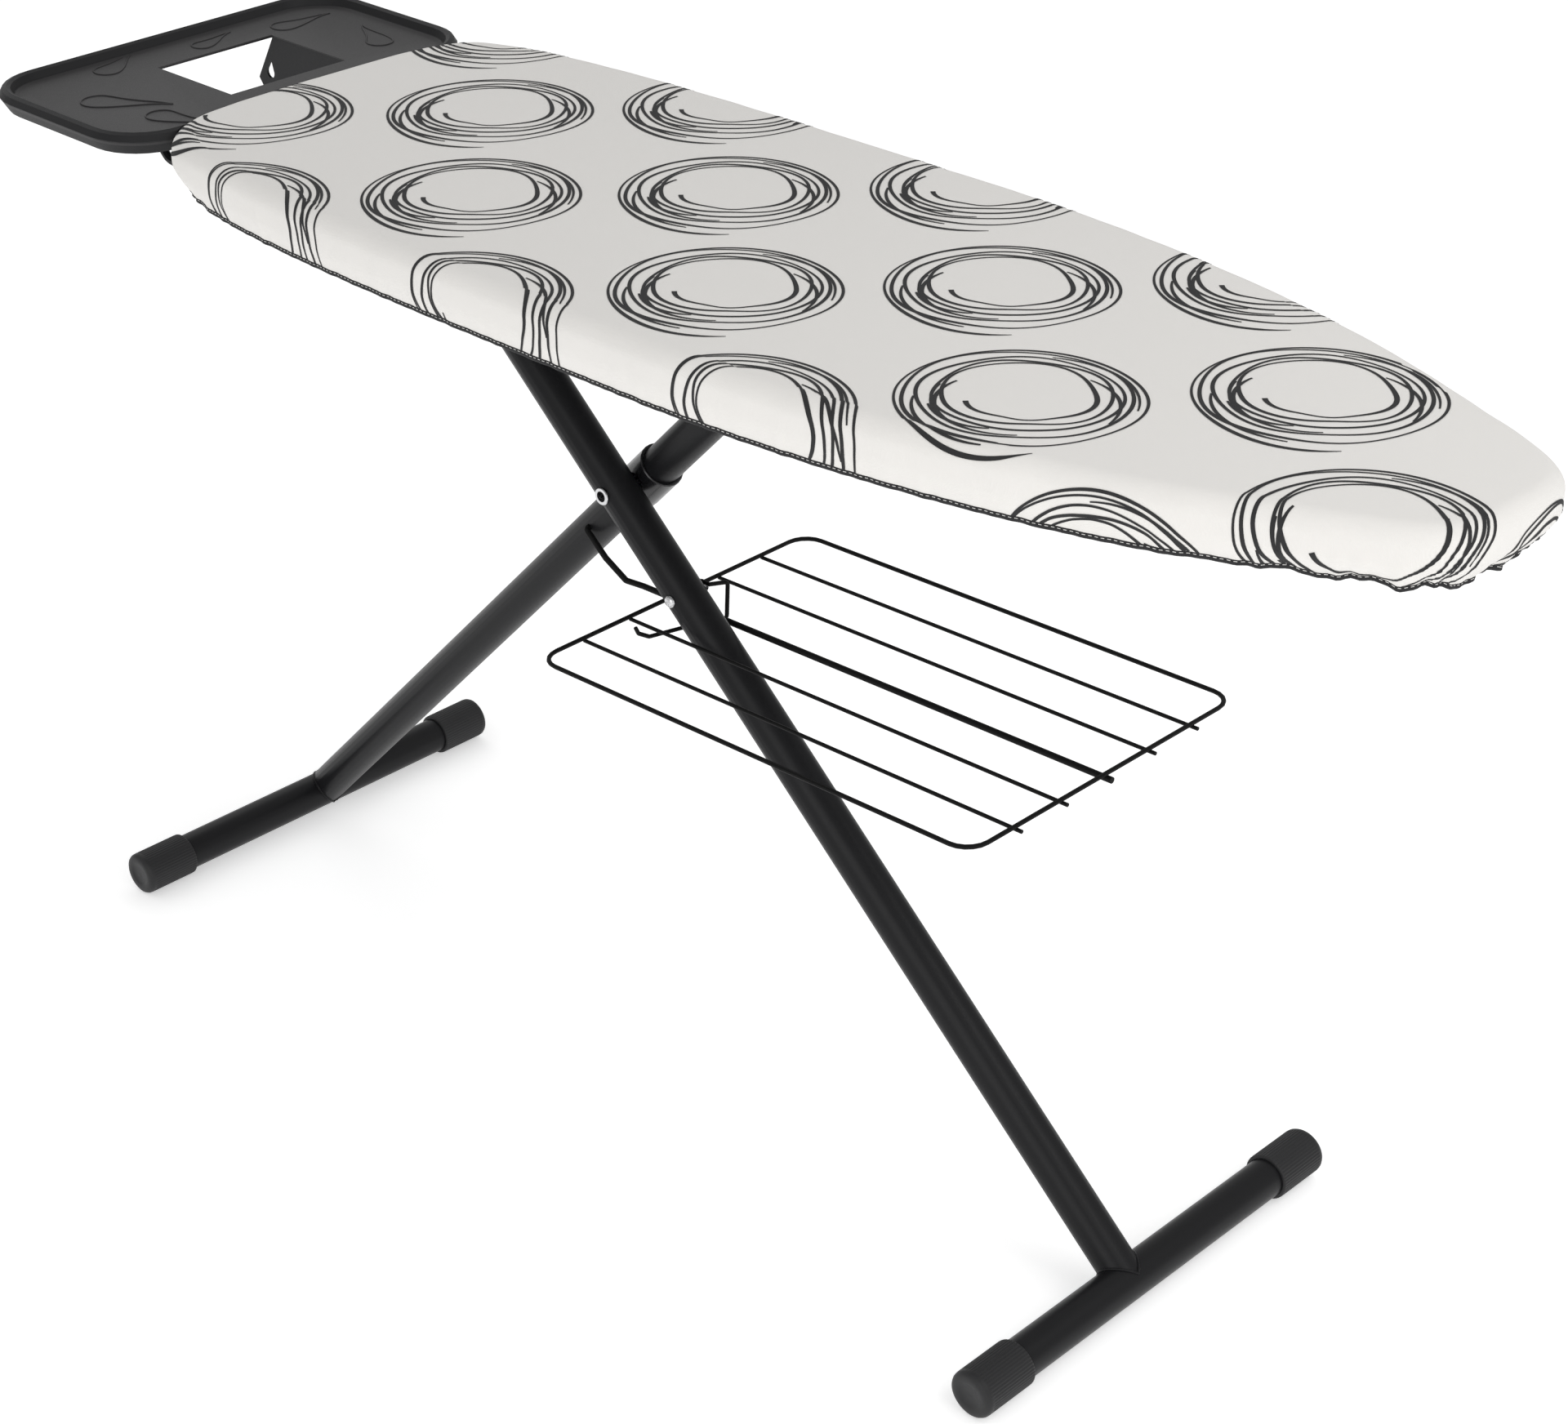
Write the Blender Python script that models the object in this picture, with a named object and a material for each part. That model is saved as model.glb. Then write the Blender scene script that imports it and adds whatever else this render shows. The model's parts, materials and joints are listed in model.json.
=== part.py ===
"""Folding ironing board with an iron rest, two crossed legs and a swinging laundry shelf.

Metres, +Z up.  +X runs along the board to its nose, -Y is the near long side, and the floor
is z = 0.  Each sub-part is one object, and each moving group hangs on an empty that stands
on its joint's axis.
"""
import math

import bmesh
import bpy
from mathutils import Vector
from mathutils.geometry import interpolate_bezier

# ---------------------------------------------------------------- driving dimensions
GAP = 0.0003                # left between touching solids
RUN = 0.00005               # radial clearance of a shaft that turns

BOARD_REAR = -0.5135
BOARD_NOSE = 0.7268
BOARD_HALF = 0.2175
BOARD_TOP = 0.793
REAR_CORNER = (-0.4800, 0.1730)   # middle of the rounded rear corner
SIDE_X = -0.0425                  # where the rear curve meets the straight side
TAPER_X = 0.1275                  # where the long side starts to taper
TAPER_HALF = 0.2172               # half width where the taper starts
SHOULDER = (0.5775, 0.1333)       # a point on the taper, before the blunt nose
SHOULDER_SLOPE = 0.41
NOSE_HALF = 0.080                 # how wide the blunt nose stays

COVER_T = 0.0012
COVER_HEM = 0.7470
COVER_EDGE_R = 0.006
PAD_T = 0.008
DECK_T = 0.0014
RIM_R = 0.009

TUBE_R = 0.0175
TUBE_WALL = 0.0015
TUBE_SIDES = 24
CAP_APOTHEM = 0.0207
CAP_LENGTH = 0.0556
CAP_SIDES = 24
FOOT_HALF = 0.2141          # half length of a foot tube
FOOT_A_X = 0.4765
FOOT_B_X = -0.5975
FOOT_Z = CAP_APOTHEM

PIVOT_X = -0.1025
PIVOT_Z = 0.535
LEG_A_Y = -0.0245
LEG_B_Y = 0.0145
TOP_PIN_Z = 0.752
TOP_OVERHANG = 0.016        # leg tube past its top pin
ROD_HOLE_ALONG = 0.6257     # from foot B's axis, up leg B
HOOK_PIN_ALONG = 0.6687     # from foot A's axis, up leg A
HOOK_PIN_R = 0.0028
PIN_R = 0.004
AXLE_HALF = 0.0715          # half length of the sliding axle

RAIL_Y = 0.0560             # inner face of a rail's web
RAIL_T = 0.0015
RAIL_LOW = 0.7345
RAIL_FLANGE = 0.0150
RAIL_REAR = -0.3845
RAIL_FRONT = 0.3215
SLOT_REAR = 0.0615
SLOT_FRONT = 0.2895
SLOT_HALF = 0.0097

SHELF_LEFT = (-0.0595, 0.4423)
SHELF_RIGHT = (0.4055, 0.4592)
SHELF_HALF = 0.1580
SHELF_CORNER_R = 0.020
SHELF_EDGE_R = 0.00175
SHELF_WIRE_R = 0.00150
SHELF_ROD_R = 0.00275
SHELF_STUB = 0.0050
SHELF_GAPS = 6

TRAY_REAR = -0.7268
TRAY_FRONT = -0.4950
TRAY_HALF = 0.198
TRAY_CORNER_R = 0.058
TRAY_TOP = 0.7855
TRAY_FLOOR = 0.7765
TRAY_FLOOR_T = 0.0025
TRAY_LOW = 0.7665
TRAY_Y = -0.009
TRAY_ROD_R = 0.0040
TRAY_ROD_Y = 0.125
TRAY_ROD_DIP = 0.7362       # how low the rod dips to pass the cover's hem
TRAY_ROD_Z = TRAY_FLOOR - TRAY_FLOOR_T - TRAY_ROD_R - 0.0005
WINDOW_X = (-0.6650, -0.5575)
WINDOW_Y = (-0.052, 0.077)

LEVER_X = 0.1065
LEVER_HALF = 0.010
LEVER_PIN = Vector((LEVER_X, -0.100, 0.736))
LEVER_PIN_R = 0.0025

RIVET_R = 0.0060
RIVET_BORE = 0.0048
RIVET_HEAD = 0.0076
DOME_R = 0.0054
HOOK_WIRE_R = 0.0019

# ---------------------------------------------------------------- worked-out places
PAD_TOP = BOARD_TOP - COVER_T - GAP
PAD_LOW = PAD_TOP - PAD_T
DECK_TOP = PAD_LOW - GAP
DECK_LOW = DECK_TOP - DECK_T
RIM_Z = DECK_LOW - GAP - RIM_R
UNDER_DECK = DECK_LOW - GAP

ANGLE_A = math.atan2(PIVOT_Z - FOOT_Z, FOOT_A_X - PIVOT_X)
ANGLE_B = math.atan2(PIVOT_Z - FOOT_Z, PIVOT_X - FOOT_B_X)
DIR_A = Vector((-math.cos(ANGLE_A), 0, math.sin(ANGLE_A)))
DIR_B = Vector((math.cos(ANGLE_B), 0, math.sin(ANGLE_B)))
FOOT_A = Vector((FOOT_A_X, LEG_A_Y, FOOT_Z))
FOOT_B = Vector((FOOT_B_X, LEG_B_Y, FOOT_Z))
REACH_A = (TOP_PIN_Z - FOOT_Z) / math.sin(ANGLE_A)
REACH_B = (TOP_PIN_Z - FOOT_Z) / math.sin(ANGLE_B)
TOP_A = FOOT_A + DIR_A * REACH_A
TOP_B = FOOT_B + DIR_B * REACH_B
PIVOT = Vector((PIVOT_X, 0, PIVOT_Z))
ROD_HOLE = FOOT_B + DIR_B * ROD_HOLE_ALONG
HOOK_PIN = FOOT_A + DIR_A * HOOK_PIN_ALONG

X_AXIS = Vector((1, 0, 0))
Y_AXIS = Vector((0, 1, 0))
Z_AXIS = Vector((0, 0, 1))


# ---------------------------------------------------------------- scene and materials
def clear_scene():
    for item in list(bpy.data.objects):
        bpy.data.objects.remove(item, do_unlink=True)


def make_material(name, color, roughness, metallic):
    material = bpy.data.materials.new(name)
    material.use_nodes = True
    shader = material.node_tree.nodes["Principled BSDF"]
    shader.inputs["Base Color"].default_value = (*color, 1.0)
    shader.inputs["Roughness"].default_value = roughness
    shader.inputs["Metallic"].default_value = metallic
    return material


COLORS = {
    "black_paint": ((0.018, 0.018, 0.020), 0.42, 0.0),
    "black_plastic": ((0.022, 0.022, 0.024), 0.55, 0.0),
    "grey_plastic": ((0.050, 0.048, 0.050), 0.60, 0.0),
    "zinc": ((0.62, 0.63, 0.64), 0.30, 1.0),
    "steel_deck": ((0.30, 0.31, 0.32), 0.50, 1.0),
    "felt": ((0.62, 0.60, 0.56), 0.95, 0.0),
    "cotton": ((0.80, 0.79, 0.76), 0.90, 0.0),
    "black_tape": ((0.020, 0.020, 0.022), 0.85, 0.0),
}


def make_empty(name, place, parent=None):
    empty = bpy.data.objects.new(name, None)
    empty.location = place
    bpy.context.scene.collection.objects.link(empty)
    bpy.context.view_layer.update()
    if parent:
        attach(empty, parent)
    return empty


def attach(item, parent):
    item.parent = parent
    item.matrix_parent_inverse = parent.matrix_world.inverted()
    bpy.context.view_layer.update()


def finish_object(name, bm, kind, parent, smooth=True):
    """Turn a bmesh into a named object with its own material."""
    bmesh.ops.recalc_face_normals(bm, faces=bm.faces)
    mesh = bpy.data.meshes.new(name)
    bm.to_mesh(mesh)
    bm.free()
    if smooth:
        mesh.shade_smooth()
        mesh.set_sharp_from_angle(angle=math.radians(35))
    item = bpy.data.objects.new(name, mesh)
    bpy.context.scene.collection.objects.link(item)
    item.data.materials.append(make_material(name, *COLORS[kind]))
    if parent:
        attach(item, parent)
    return item


def boolean(item, other, operation="DIFFERENCE"):
    """Cut item with other, or join other to it, and hide the operand."""
    other.hide_render = True
    other.display_type = "WIRE"
    modifier = item.modifiers.new(operation.title(), "BOOLEAN")
    modifier.operation = operation
    modifier.object = other
    modifier.solver = "EXACT"


# ---------------------------------------------------------------- shape builders
def loft(bm, rings, closed=False):
    """Skin equal rings of points; the ends are capped unless the rings close on themselves."""
    rows = [[bm.verts.new(point) for point in ring] for ring in rings]
    count = len(rows[0])
    pairs = list(zip(rows, rows[1:]))
    if closed:
        pairs.append((rows[-1], rows[0]))
    for low, high in pairs:
        for i in range(count):
            j = (i + 1) % count
            bm.faces.new((low[i], low[j], high[j], high[i]))
    if not closed:
        bm.faces.new(rows[0])
        bm.faces.new(rows[-1])


def side_vectors(axis):
    """Two unit vectors square to axis, the second as close to -Z as it can be."""
    helper = Z_AXIS if abs(axis.z) < 0.95 else X_AXIS
    first = axis.cross(helper).normalized()
    return first, axis.cross(first).normalized()


def circle(center, axis, radius, sides, phase=0.0):
    first, second = side_vectors(axis)
    turns = [2 * math.pi * (i + phase) / sides for i in range(sides)]
    return [center + radius * (math.cos(t) * first + math.sin(t) * second) for t in turns]


def lathe(name, origin, axis, profile, sides, kind, parent, closed=False, phase=0.0):
    """Turn (radius, height) points about an axis."""
    bm = bmesh.new()
    axis = axis.normalized()
    rings = [circle(origin + axis * h, axis, r, sides, phase) for r, h in profile]
    loft(bm, rings, closed)
    return finish_object(name, bm, kind, parent)


def rod(name, start, end, radius, sides, kind, parent):
    axis = end - start
    return lathe(name, start, axis, [(radius, 0), (radius, axis.length)], sides, kind, parent)


def prism(name, outline, axis, low, high, kind, parent, smooth=False):
    """Extrude a closed outline along X, Y or Z, between two positions."""
    order = {"X": lambda p, h: Vector((h, p[0], p[1])),
             "Y": lambda p, h: Vector((p[0], h, p[1])),
             "Z": lambda p, h: Vector((p[0], p[1], h))}[axis]
    bm = bmesh.new()
    loft(bm, [[order(p, low) for p in outline], [order(p, high) for p in outline]])
    return finish_object(name, bm, kind, parent, smooth)


def block(name, low, high, kind, parent):
    outline = [(low[0], low[1]), (high[0], low[1]), (high[0], high[1]), (low[0], high[1])]
    return prism(name, outline, "Z", low[2], high[2], kind, parent)


def rounded_path(points, radius, steps, closed=False):
    """Replace each corner of a path with an arc."""
    points = [Vector(p) for p in points]
    count = len(points)
    result = [] if closed else [points[0]]
    corners = range(count) if closed else range(1, count - 1)
    for i in corners:
        corner = points[i]
        back = (points[i - 1] - corner).normalized()
        ahead = (points[(i + 1) % count] - corner).normalized()
        half = back.angle(ahead) / 2
        reach = radius / math.tan(half)
        middle = corner + (back + ahead).normalized() * (radius / math.sin(half))
        first = corner + back * reach - middle
        sweep_angle = math.pi - 2 * half
        across = (corner + ahead * reach - middle)
        for k in range(steps + 1):
            t = sweep_angle * k / steps
            weight = math.sin(sweep_angle)
            result.append(middle + first * (math.sin(sweep_angle - t) / weight)
                          + across * (math.sin(t) / weight))
    if not closed:
        result.append(points[-1])
    return result


def sweep(name, points, radius, sides, kind, parent, closed=False, flat=1.0, up=Z_AXIS):
    """Sweep a round, or a flattened, section along a path."""
    points = [Vector(p) for p in points]
    count = len(points)
    tangents = []
    for i in range(count):
        before = points[i - 1] if closed or i else points[i]
        after = points[(i + 1) % count] if closed or i < count - 1 else points[i]
        tangents.append((after - before).normalized())
    normal = tangents[0].cross(up).normalized()
    rings = []
    for point, tangent in zip(points, tangents):
        normal = (normal - tangent * normal.dot(tangent)).normalized()
        other = tangent.cross(normal).normalized()
        turns = [2 * math.pi * (k + 0.5) / sides for k in range(sides)]
        rings.append([point + radius * (math.cos(t) * normal + flat * math.sin(t) * other)
                      for t in turns])
    bm = bmesh.new()
    loft(bm, rings, closed)
    return finish_object(name, bm, kind, parent)


# ---------------------------------------------------------------- the board's outline
def bezier(start, start_handle, end_handle, end, steps):
    corners = [Vector((*p, 0)) for p in (start, start_handle, end_handle, end)]
    return [(p.x, p.y) for p in interpolate_bezier(*corners, steps + 1)][:-1]


def half_outline():
    """Rear centre to nose centre, along the +Y side."""
    corner_x, corner_y = REAR_CORNER
    x, y = SHOULDER
    rear = bezier((BOARD_REAR, 0), (BOARD_REAR, 0.100), (corner_x - 0.032, corner_y - 0.0245),
                  REAR_CORNER, 5)
    quarter = bezier(REAR_CORNER, (corner_x + 0.050, corner_y + 0.034), (SIDE_X - 0.24, BOARD_HALF),
                     (SIDE_X, BOARD_HALF), 6)
    side = bezier((SIDE_X, BOARD_HALF), (SIDE_X + 0.06, BOARD_HALF), (TAPER_X - 0.06, BOARD_HALF),
                  (TAPER_X, TAPER_HALF), 1)
    taper = bezier((TAPER_X, TAPER_HALF), (TAPER_X + 0.13, TAPER_HALF - 0.0026),
                   (x - 0.15, y + 0.15 * SHOULDER_SLOPE), SHOULDER, 6)
    nose = bezier(SHOULDER, (x + 0.14, y - 0.14 * SHOULDER_SLOPE), (BOARD_NOSE, NOSE_HALF),
                  (BOARD_NOSE, 0), 7)
    return rear + quarter + side + taper + nose


def board_outline(inset):
    """The board's plan, anticlockwise, moved inwards by inset."""
    upper = half_outline()
    lower = [(x, -y) for x, y in upper[1:]]
    full = lower + [(BOARD_NOSE, 0.0)] + upper[::-1]
    count = len(full)
    result = []
    for i, (x, y) in enumerate(full):
        x0, y0 = full[i - 1]
        x1, y1 = full[(i + 1) % count]
        length = math.hypot(x1 - x0, y1 - y0)
        result.append((x - inset * (y1 - y0) / length, y + inset * (x1 - x0) / length))
    return result


def board_ring(inset, z):
    return [Vector((x, y, z)) for x, y in board_outline(inset)]


# ---------------------------------------------------------------- board group
def make_cover(parent):
    inner = COVER_T
    rings = [board_ring(COVER_EDGE_R, BOARD_TOP),
             board_ring(COVER_EDGE_R * 0.3, BOARD_TOP - COVER_EDGE_R * 0.3),
             board_ring(0, BOARD_TOP - COVER_EDGE_R),
             board_ring(0, COVER_HEM),
             board_ring(inner, COVER_HEM),
             board_ring(inner, BOARD_TOP - COVER_EDGE_R),
             board_ring(COVER_EDGE_R * 0.3 + inner, BOARD_TOP - COVER_EDGE_R * 0.3 - inner),
             board_ring(COVER_EDGE_R + inner, BOARD_TOP - inner)]
    bm = bmesh.new()
    loft(bm, rings)
    finish_object("cotton_cover", bm, "cotton", parent)


def make_pad(parent):
    edge = COVER_T + GAP
    round_off = COVER_EDGE_R + edge + GAP
    bm = bmesh.new()
    loft(bm, [board_ring(edge + GAP, PAD_LOW),
              board_ring(edge + GAP, PAD_TOP - COVER_EDGE_R),
              board_ring(round_off, PAD_TOP)])
    finish_object("foam_pad", bm, "felt", parent)


def make_hem(parent):
    path = [(x, y, COVER_HEM - GAP - 0.0021) for x, y in board_outline(0.0014)]
    sweep("hem_binding", path, 0.0019, 6, "black_tape", parent, closed=True)


def make_deck(parent):
    deck = prism("deck_sheet", board_outline(0.0135), "Z", DECK_LOW, DECK_TOP, "steel_deck", parent)
    slot_length = 0.074
    slot_width = 0.022
    pitch_x = 0.104
    pitch_y = 0.052
    bm = bmesh.new()
    for row in range(-3, 4):
        for column in range(-4, 6):
            x = pitch_x * column + (row % 2) * pitch_x / 2
            y = pitch_y * row
            if abs(y) > min(allowed_half(x - slot_length), allowed_half(x + slot_length)) - 0.030:
                continue
            dx, dy = slot_length / 2, slot_width / 2
            outline = [(x - dx, y), (x - dx + dy, y - dy), (x + dx - dy, y - dy),
                       (x + dx, y), (x + dx - dy, y + dy), (x - dx + dy, y + dy)]
            loft(bm, [[Vector((*p, DECK_LOW - 0.01)) for p in outline],
                      [Vector((*p, DECK_TOP + 0.01)) for p in outline]])
    boolean(deck, finish_object("deck_slot_cutter", bm, "steel_deck", parent, smooth=False))


def allowed_half(x):
    """Half width of the board at x, read from its outline."""
    points = half_outline() + [(BOARD_NOSE, 0.0)]
    for (x0, y0), (x1, y1) in zip(points, points[1:]):
        if x0 <= x <= x1 and x1 > x0:
            return y0 + (y1 - y0) * (x - x0) / (x1 - x0)
    return 0.0


def make_rim(parent):
    inset = COVER_T + 0.0033 + RIM_R
    path = [(x, y, RIM_Z) for x, y in board_outline(inset)]
    sweep("rim_tube", path, RIM_R, 8, "black_paint", parent, closed=True)


def make_rail(name, side, parent):
    """Pressed channel: a web with flanges turned outwards, slotted for the sliding axle."""
    web = RAIL_Y
    outer = RAIL_Y + RAIL_FLANGE
    thick = RAIL_T
    section = [(web, RAIL_LOW), (outer, RAIL_LOW), (outer, RAIL_LOW + thick),
               (web + thick, RAIL_LOW + thick), (web + thick, UNDER_DECK - thick),
               (outer, UNDER_DECK - thick), (outer, UNDER_DECK), (web, UNDER_DECK)]
    outline = [(side * y, z) for y, z in section]
    rail = prism(name, outline, "X", RAIL_REAR, RAIL_FRONT, "black_paint", parent)
    bm = bmesh.new()
    steps = 6
    points = []
    for end, start_angle in ((SLOT_FRONT - SLOT_HALF, -90), (SLOT_REAR + SLOT_HALF, 90)):
        for k in range(steps + 1):
            t = math.radians(start_angle + 180 * k / steps)
            points.append((end + SLOT_HALF * math.cos(t), TOP_PIN_Z + SLOT_HALF * math.sin(t)))
    y_low, y_high = sorted((side * (web - 0.002), side * (web + thick + 0.002)))
    loft(bm, [[Vector((x, y_low, z)) for x, z in points],
              [Vector((x, y_high, z)) for x, z in points]])
    boolean(rail, finish_object(name + "_slot_cutter", bm, "black_paint", parent))
    hole = rod(name + "_pin_cutter", Vector((TOP_A.x, y_low, TOP_PIN_Z)),
               Vector((TOP_A.x, y_high, TOP_PIN_Z)), PIN_R + GAP * 1.2, 24, "black_paint", parent)
    boolean(rail, hole)


def make_braces(parent):
    """Flat cross bars under the deck, in front of and behind the rails."""
    low, high = UNDER_DECK - 0.007, UNDER_DECK
    bars = (("rear_brace", RAIL_REAR - 0.028, RAIL_REAR - 0.006),
            ("front_brace", RAIL_FRONT + 0.006, RAIL_FRONT + 0.028))
    for name, x0, x1 in bars:
        reach = min(allowed_half(x0), allowed_half(x1)) - COVER_T - 0.0035 - 2 * RIM_R - 0.0012
        block(name, (x0, -reach, low), (x1, reach, high), "black_paint", parent)


def make_hinge_pin(parent):
    head = 0.008
    inner = RAIL_Y + RAIL_T + GAP
    profile = [(head, -inner - 0.003), (head, -inner), (PIN_R, -inner), (PIN_R, inner + 0.004)]
    lathe("hinge_pin", Vector((TOP_A.x, 0, TOP_PIN_Z)), Y_AXIS, profile, 24, "zinc", parent)


def make_rack(parent):
    """Toothed strip on the near rail that the sliding axle rests against."""
    low = RAIL_LOW + RAIL_T + GAP
    top = 0.7440
    tooth = 0.0200
    depth = 0.0035
    outline = [(SLOT_REAR, low)]
    count = int((SLOT_FRONT - SLOT_REAR) / tooth)
    end = SLOT_REAR + count * tooth
    outline.append((end, low))
    for i in range(count):
        x = end - i * tooth
        outline.append((x, top))
        outline.append((x - tooth * 0.35, top))
        outline.append((x - tooth * 0.50, top - depth))
        outline.append((x - tooth * 0.95, top - depth))
    outline.append((SLOT_REAR, top))
    prism("height_rack", outline, "Y", -RAIL_Y - 0.0112, -RAIL_Y - 0.0092, "zinc", parent)


def make_lever_mount(parent):
    ear = 0.0015
    inner = LEVER_HALF + 0.0007
    outer = inner + ear
    low = LEVER_PIN.z - 0.008
    plate = UNDER_DECK - 0.0015
    outline = [(LEVER_X - outer, low), (LEVER_X - inner, low), (LEVER_X - inner, plate),
               (LEVER_X + inner, plate), (LEVER_X + inner, low), (LEVER_X + outer, low),
               (LEVER_X + outer, UNDER_DECK), (LEVER_X - outer, UNDER_DECK)]
    bracket = prism("lever_bracket", outline, "Y", LEVER_PIN.y - 0.010, LEVER_PIN.y + 0.010,
                    "black_paint", parent)
    hole = rod("lever_bracket_cutter", LEVER_PIN - X_AXIS * 0.03, LEVER_PIN + X_AXIS * 0.03,
               LEVER_PIN_R + GAP * 1.2, 16, "black_paint", parent)
    boolean(bracket, hole)
    head = 0.0045
    start = -outer - GAP - 0.002
    lathe("lever_pin", LEVER_PIN, X_AXIS,
          [(head, start), (head, -outer - GAP), (LEVER_PIN_R, -outer - GAP), (LEVER_PIN_R, 0.024)],
          16, "zinc", parent)
    turns = 4
    steps = 8
    coil_r = 0.0040
    coil_start = LEVER_PIN.x + outer + 0.0015
    path = [(coil_start, LEVER_PIN.y + 0.016, LEVER_PIN.z + coil_r)]
    for k in range(turns * steps + 1):
        t = 2 * math.pi * k / steps
        path.append((coil_start + 0.0014 * k / steps, LEVER_PIN.y - coil_r * math.sin(t),
                     LEVER_PIN.z + coil_r * math.cos(t)))
    path.append((coil_start + 0.0014 * turns, LEVER_PIN.y - 0.016, LEVER_PIN.z + coil_r))
    sweep("lever_spring", path, 0.0005, 6, "zinc", parent, up=X_AXIS)


def make_lever(parent):
    """Rocking arm: a finger under the rack on one side, a grip under the board's edge."""
    hub = 0.0060
    half = 0.0017
    py, pz = LEVER_PIN.y, LEVER_PIN.z
    tip = -RAIL_Y - RAIL_FLANGE - 0.0008
    outline = [(tip, pz + 0.007), (tip - 0.0035, pz + 0.007), (tip - 0.0035, pz + half)]
    bend = math.asin(half / hub)
    for k in range(9):
        t = bend + (math.pi - 2 * bend) * k / 8
        outline.append((py + hub * math.cos(t), pz + hub * math.sin(t)))
    outline.append((-0.150, pz + half))
    outline.append((-0.150, pz - half))
    for k in range(9):
        t = math.pi + bend + (math.pi - 2 * bend) * k / 8
        outline.append((py + hub * math.cos(t), pz + hub * math.sin(t)))
    outline.append((tip, pz - half))
    arm = prism("lever_arm", outline, "X", LEVER_X - LEVER_HALF, LEVER_X + LEVER_HALF,
                "black_paint", parent)
    bore = (LEVER_PIN_R + RUN) / math.cos(math.pi / 16)
    hole = rod("lever_arm_cutter", LEVER_PIN - X_AXIS * 0.02, LEVER_PIN + X_AXIS * 0.02,
               bore, 16, "black_paint", parent)
    boolean(arm, hole)
    bm = bmesh.new()
    sections = ((-0.1503, 0.011, 0.0045), (-0.155, 0.0135, 0.0065), (-0.174, 0.0150, 0.0065),
                (-0.185, 0.0140, 0.0055), (-0.190, 0.010, 0.0030))
    rings = []
    for y, wide, high in sections:
        turns = [2 * math.pi * k / 16 for k in range(16)]
        rings.append([Vector((LEVER_X + wide * math.copysign(abs(math.cos(t)) ** 0.6, math.cos(t)), y,
                              pz + high * math.copysign(abs(math.sin(t)) ** 0.6, math.sin(t))))
                      for t in turns])
    loft(bm, rings)
    finish_object("lever_grip", bm, "black_plastic", parent)


# ---------------------------------------------------------------- iron rest
def tray_outline(inset):
    radius = TRAY_CORNER_R - inset
    corners = ((TRAY_FRONT, TRAY_HALF, 0), (TRAY_REAR, TRAY_HALF, 90),
               (TRAY_REAR, -TRAY_HALF, 180), (TRAY_FRONT, -TRAY_HALF, 270))
    points = []
    for x, y, start in corners:
        cx = x - math.copysign(TRAY_CORNER_R, x - (TRAY_REAR + TRAY_FRONT) / 2)
        cy = y - math.copysign(TRAY_CORNER_R, y)
        for k in range(9):
            t = math.radians(start + 90 * k / 8)
            points.append((cx + radius * math.cos(t), TRAY_Y + cy + radius * math.sin(t)))
    return points


def make_tray(parent):
    sections = ((0.0170, TRAY_FLOOR), (0.0135, TRAY_FLOOR + 0.0015), (0.0105, TRAY_TOP - 0.0015),
                (0.0070, TRAY_TOP), (0.0030, TRAY_TOP - 0.0015), (0.0000, TRAY_TOP - 0.0065),
                (0.0075, TRAY_LOW), (0.0105, TRAY_LOW), (0.0140, TRAY_FLOOR - TRAY_FLOOR_T),
                (0.0175, TRAY_FLOOR - TRAY_FLOOR_T))
    bm = bmesh.new()
    loft(bm, [[Vector((*p, z)) for p in tray_outline(inset)] for inset, z in sections])
    tray = finish_object("iron_rest_tray", bm, "grey_plastic", parent)
    flap_low = TRAY_FLOOR - 0.055
    flap = [(WINDOW_X[0] + 0.002, TRAY_FLOOR - 0.0005), (WINDOW_X[0] - 0.024, flap_low + 0.010),
            (WINDOW_X[0] - 0.018, flap_low + 0.002), (WINDOW_X[0] - 0.008, flap_low),
            (WINDOW_X[1] - 0.030, flap_low + 0.016), (WINDOW_X[1] - 0.002, TRAY_FLOOR - 0.012),
            (WINDOW_X[1] - 0.002, TRAY_FLOOR - 0.0005)]
    flap_y = WINDOW_Y[1] + 0.0004
    plate = prism("tray_flap_shape", flap, "Y", flap_y, flap_y + 0.0024, "grey_plastic", parent)
    boolean(tray, plate, "UNION")
    hang_x, hang_z = WINDOW_X[0] - 0.006, flap_low + 0.018
    drop = [(hang_x + 0.0055 * math.cos(math.radians(a)), hang_z + 0.0055 * math.sin(math.radians(a)))
            for a in range(150, 391, 24)]
    drop.append((hang_x + 0.002, hang_z + 0.013))
    drop_cutter = prism("tray_drop_cutter", drop, "Y", flap_y - 0.01, flap_y + 0.01,
                        "grey_plastic", parent)
    boolean(tray, drop_cutter)
    (x0, x1), (y0, y1) = WINDOW_X, WINDOW_Y
    window = block("tray_window_cutter", (x0, y0, TRAY_FLOOR - 0.02), (x1, y1, TRAY_FLOOR + 0.02),
                   "grey_plastic", parent)
    boolean(tray, window)
    clear = prism("tray_board_cutter", board_outline(-0.0018), "Z", 0.70, 0.82, "grey_plastic", parent)
    boolean(tray, clear)


def make_tray_frame(parent):
    """Bent rod: it leaves the board under the hem, and comes up under the tray."""
    under_brace = UNDER_DECK - 0.007 - GAP - TRAY_ROD_R
    side = [(RAIL_REAR + 0.016, under_brace), (RAIL_REAR - 0.062, under_brace),
            (RAIL_REAR - 0.102, TRAY_ROD_DIP), (TRAY_REAR + 0.171, TRAY_ROD_DIP),
            (TRAY_REAR + 0.139, TRAY_ROD_Z), (TRAY_REAR + 0.027, TRAY_ROD_Z)]
    path = [(x, TRAY_ROD_Y, z) for x, z in side]
    path += [(x, -TRAY_ROD_Y, z) for x, z in reversed(side)]
    sweep("tray_frame_rod", rounded_path(path, 0.012, 3), TRAY_ROD_R, 8, "black_paint", parent)


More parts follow.
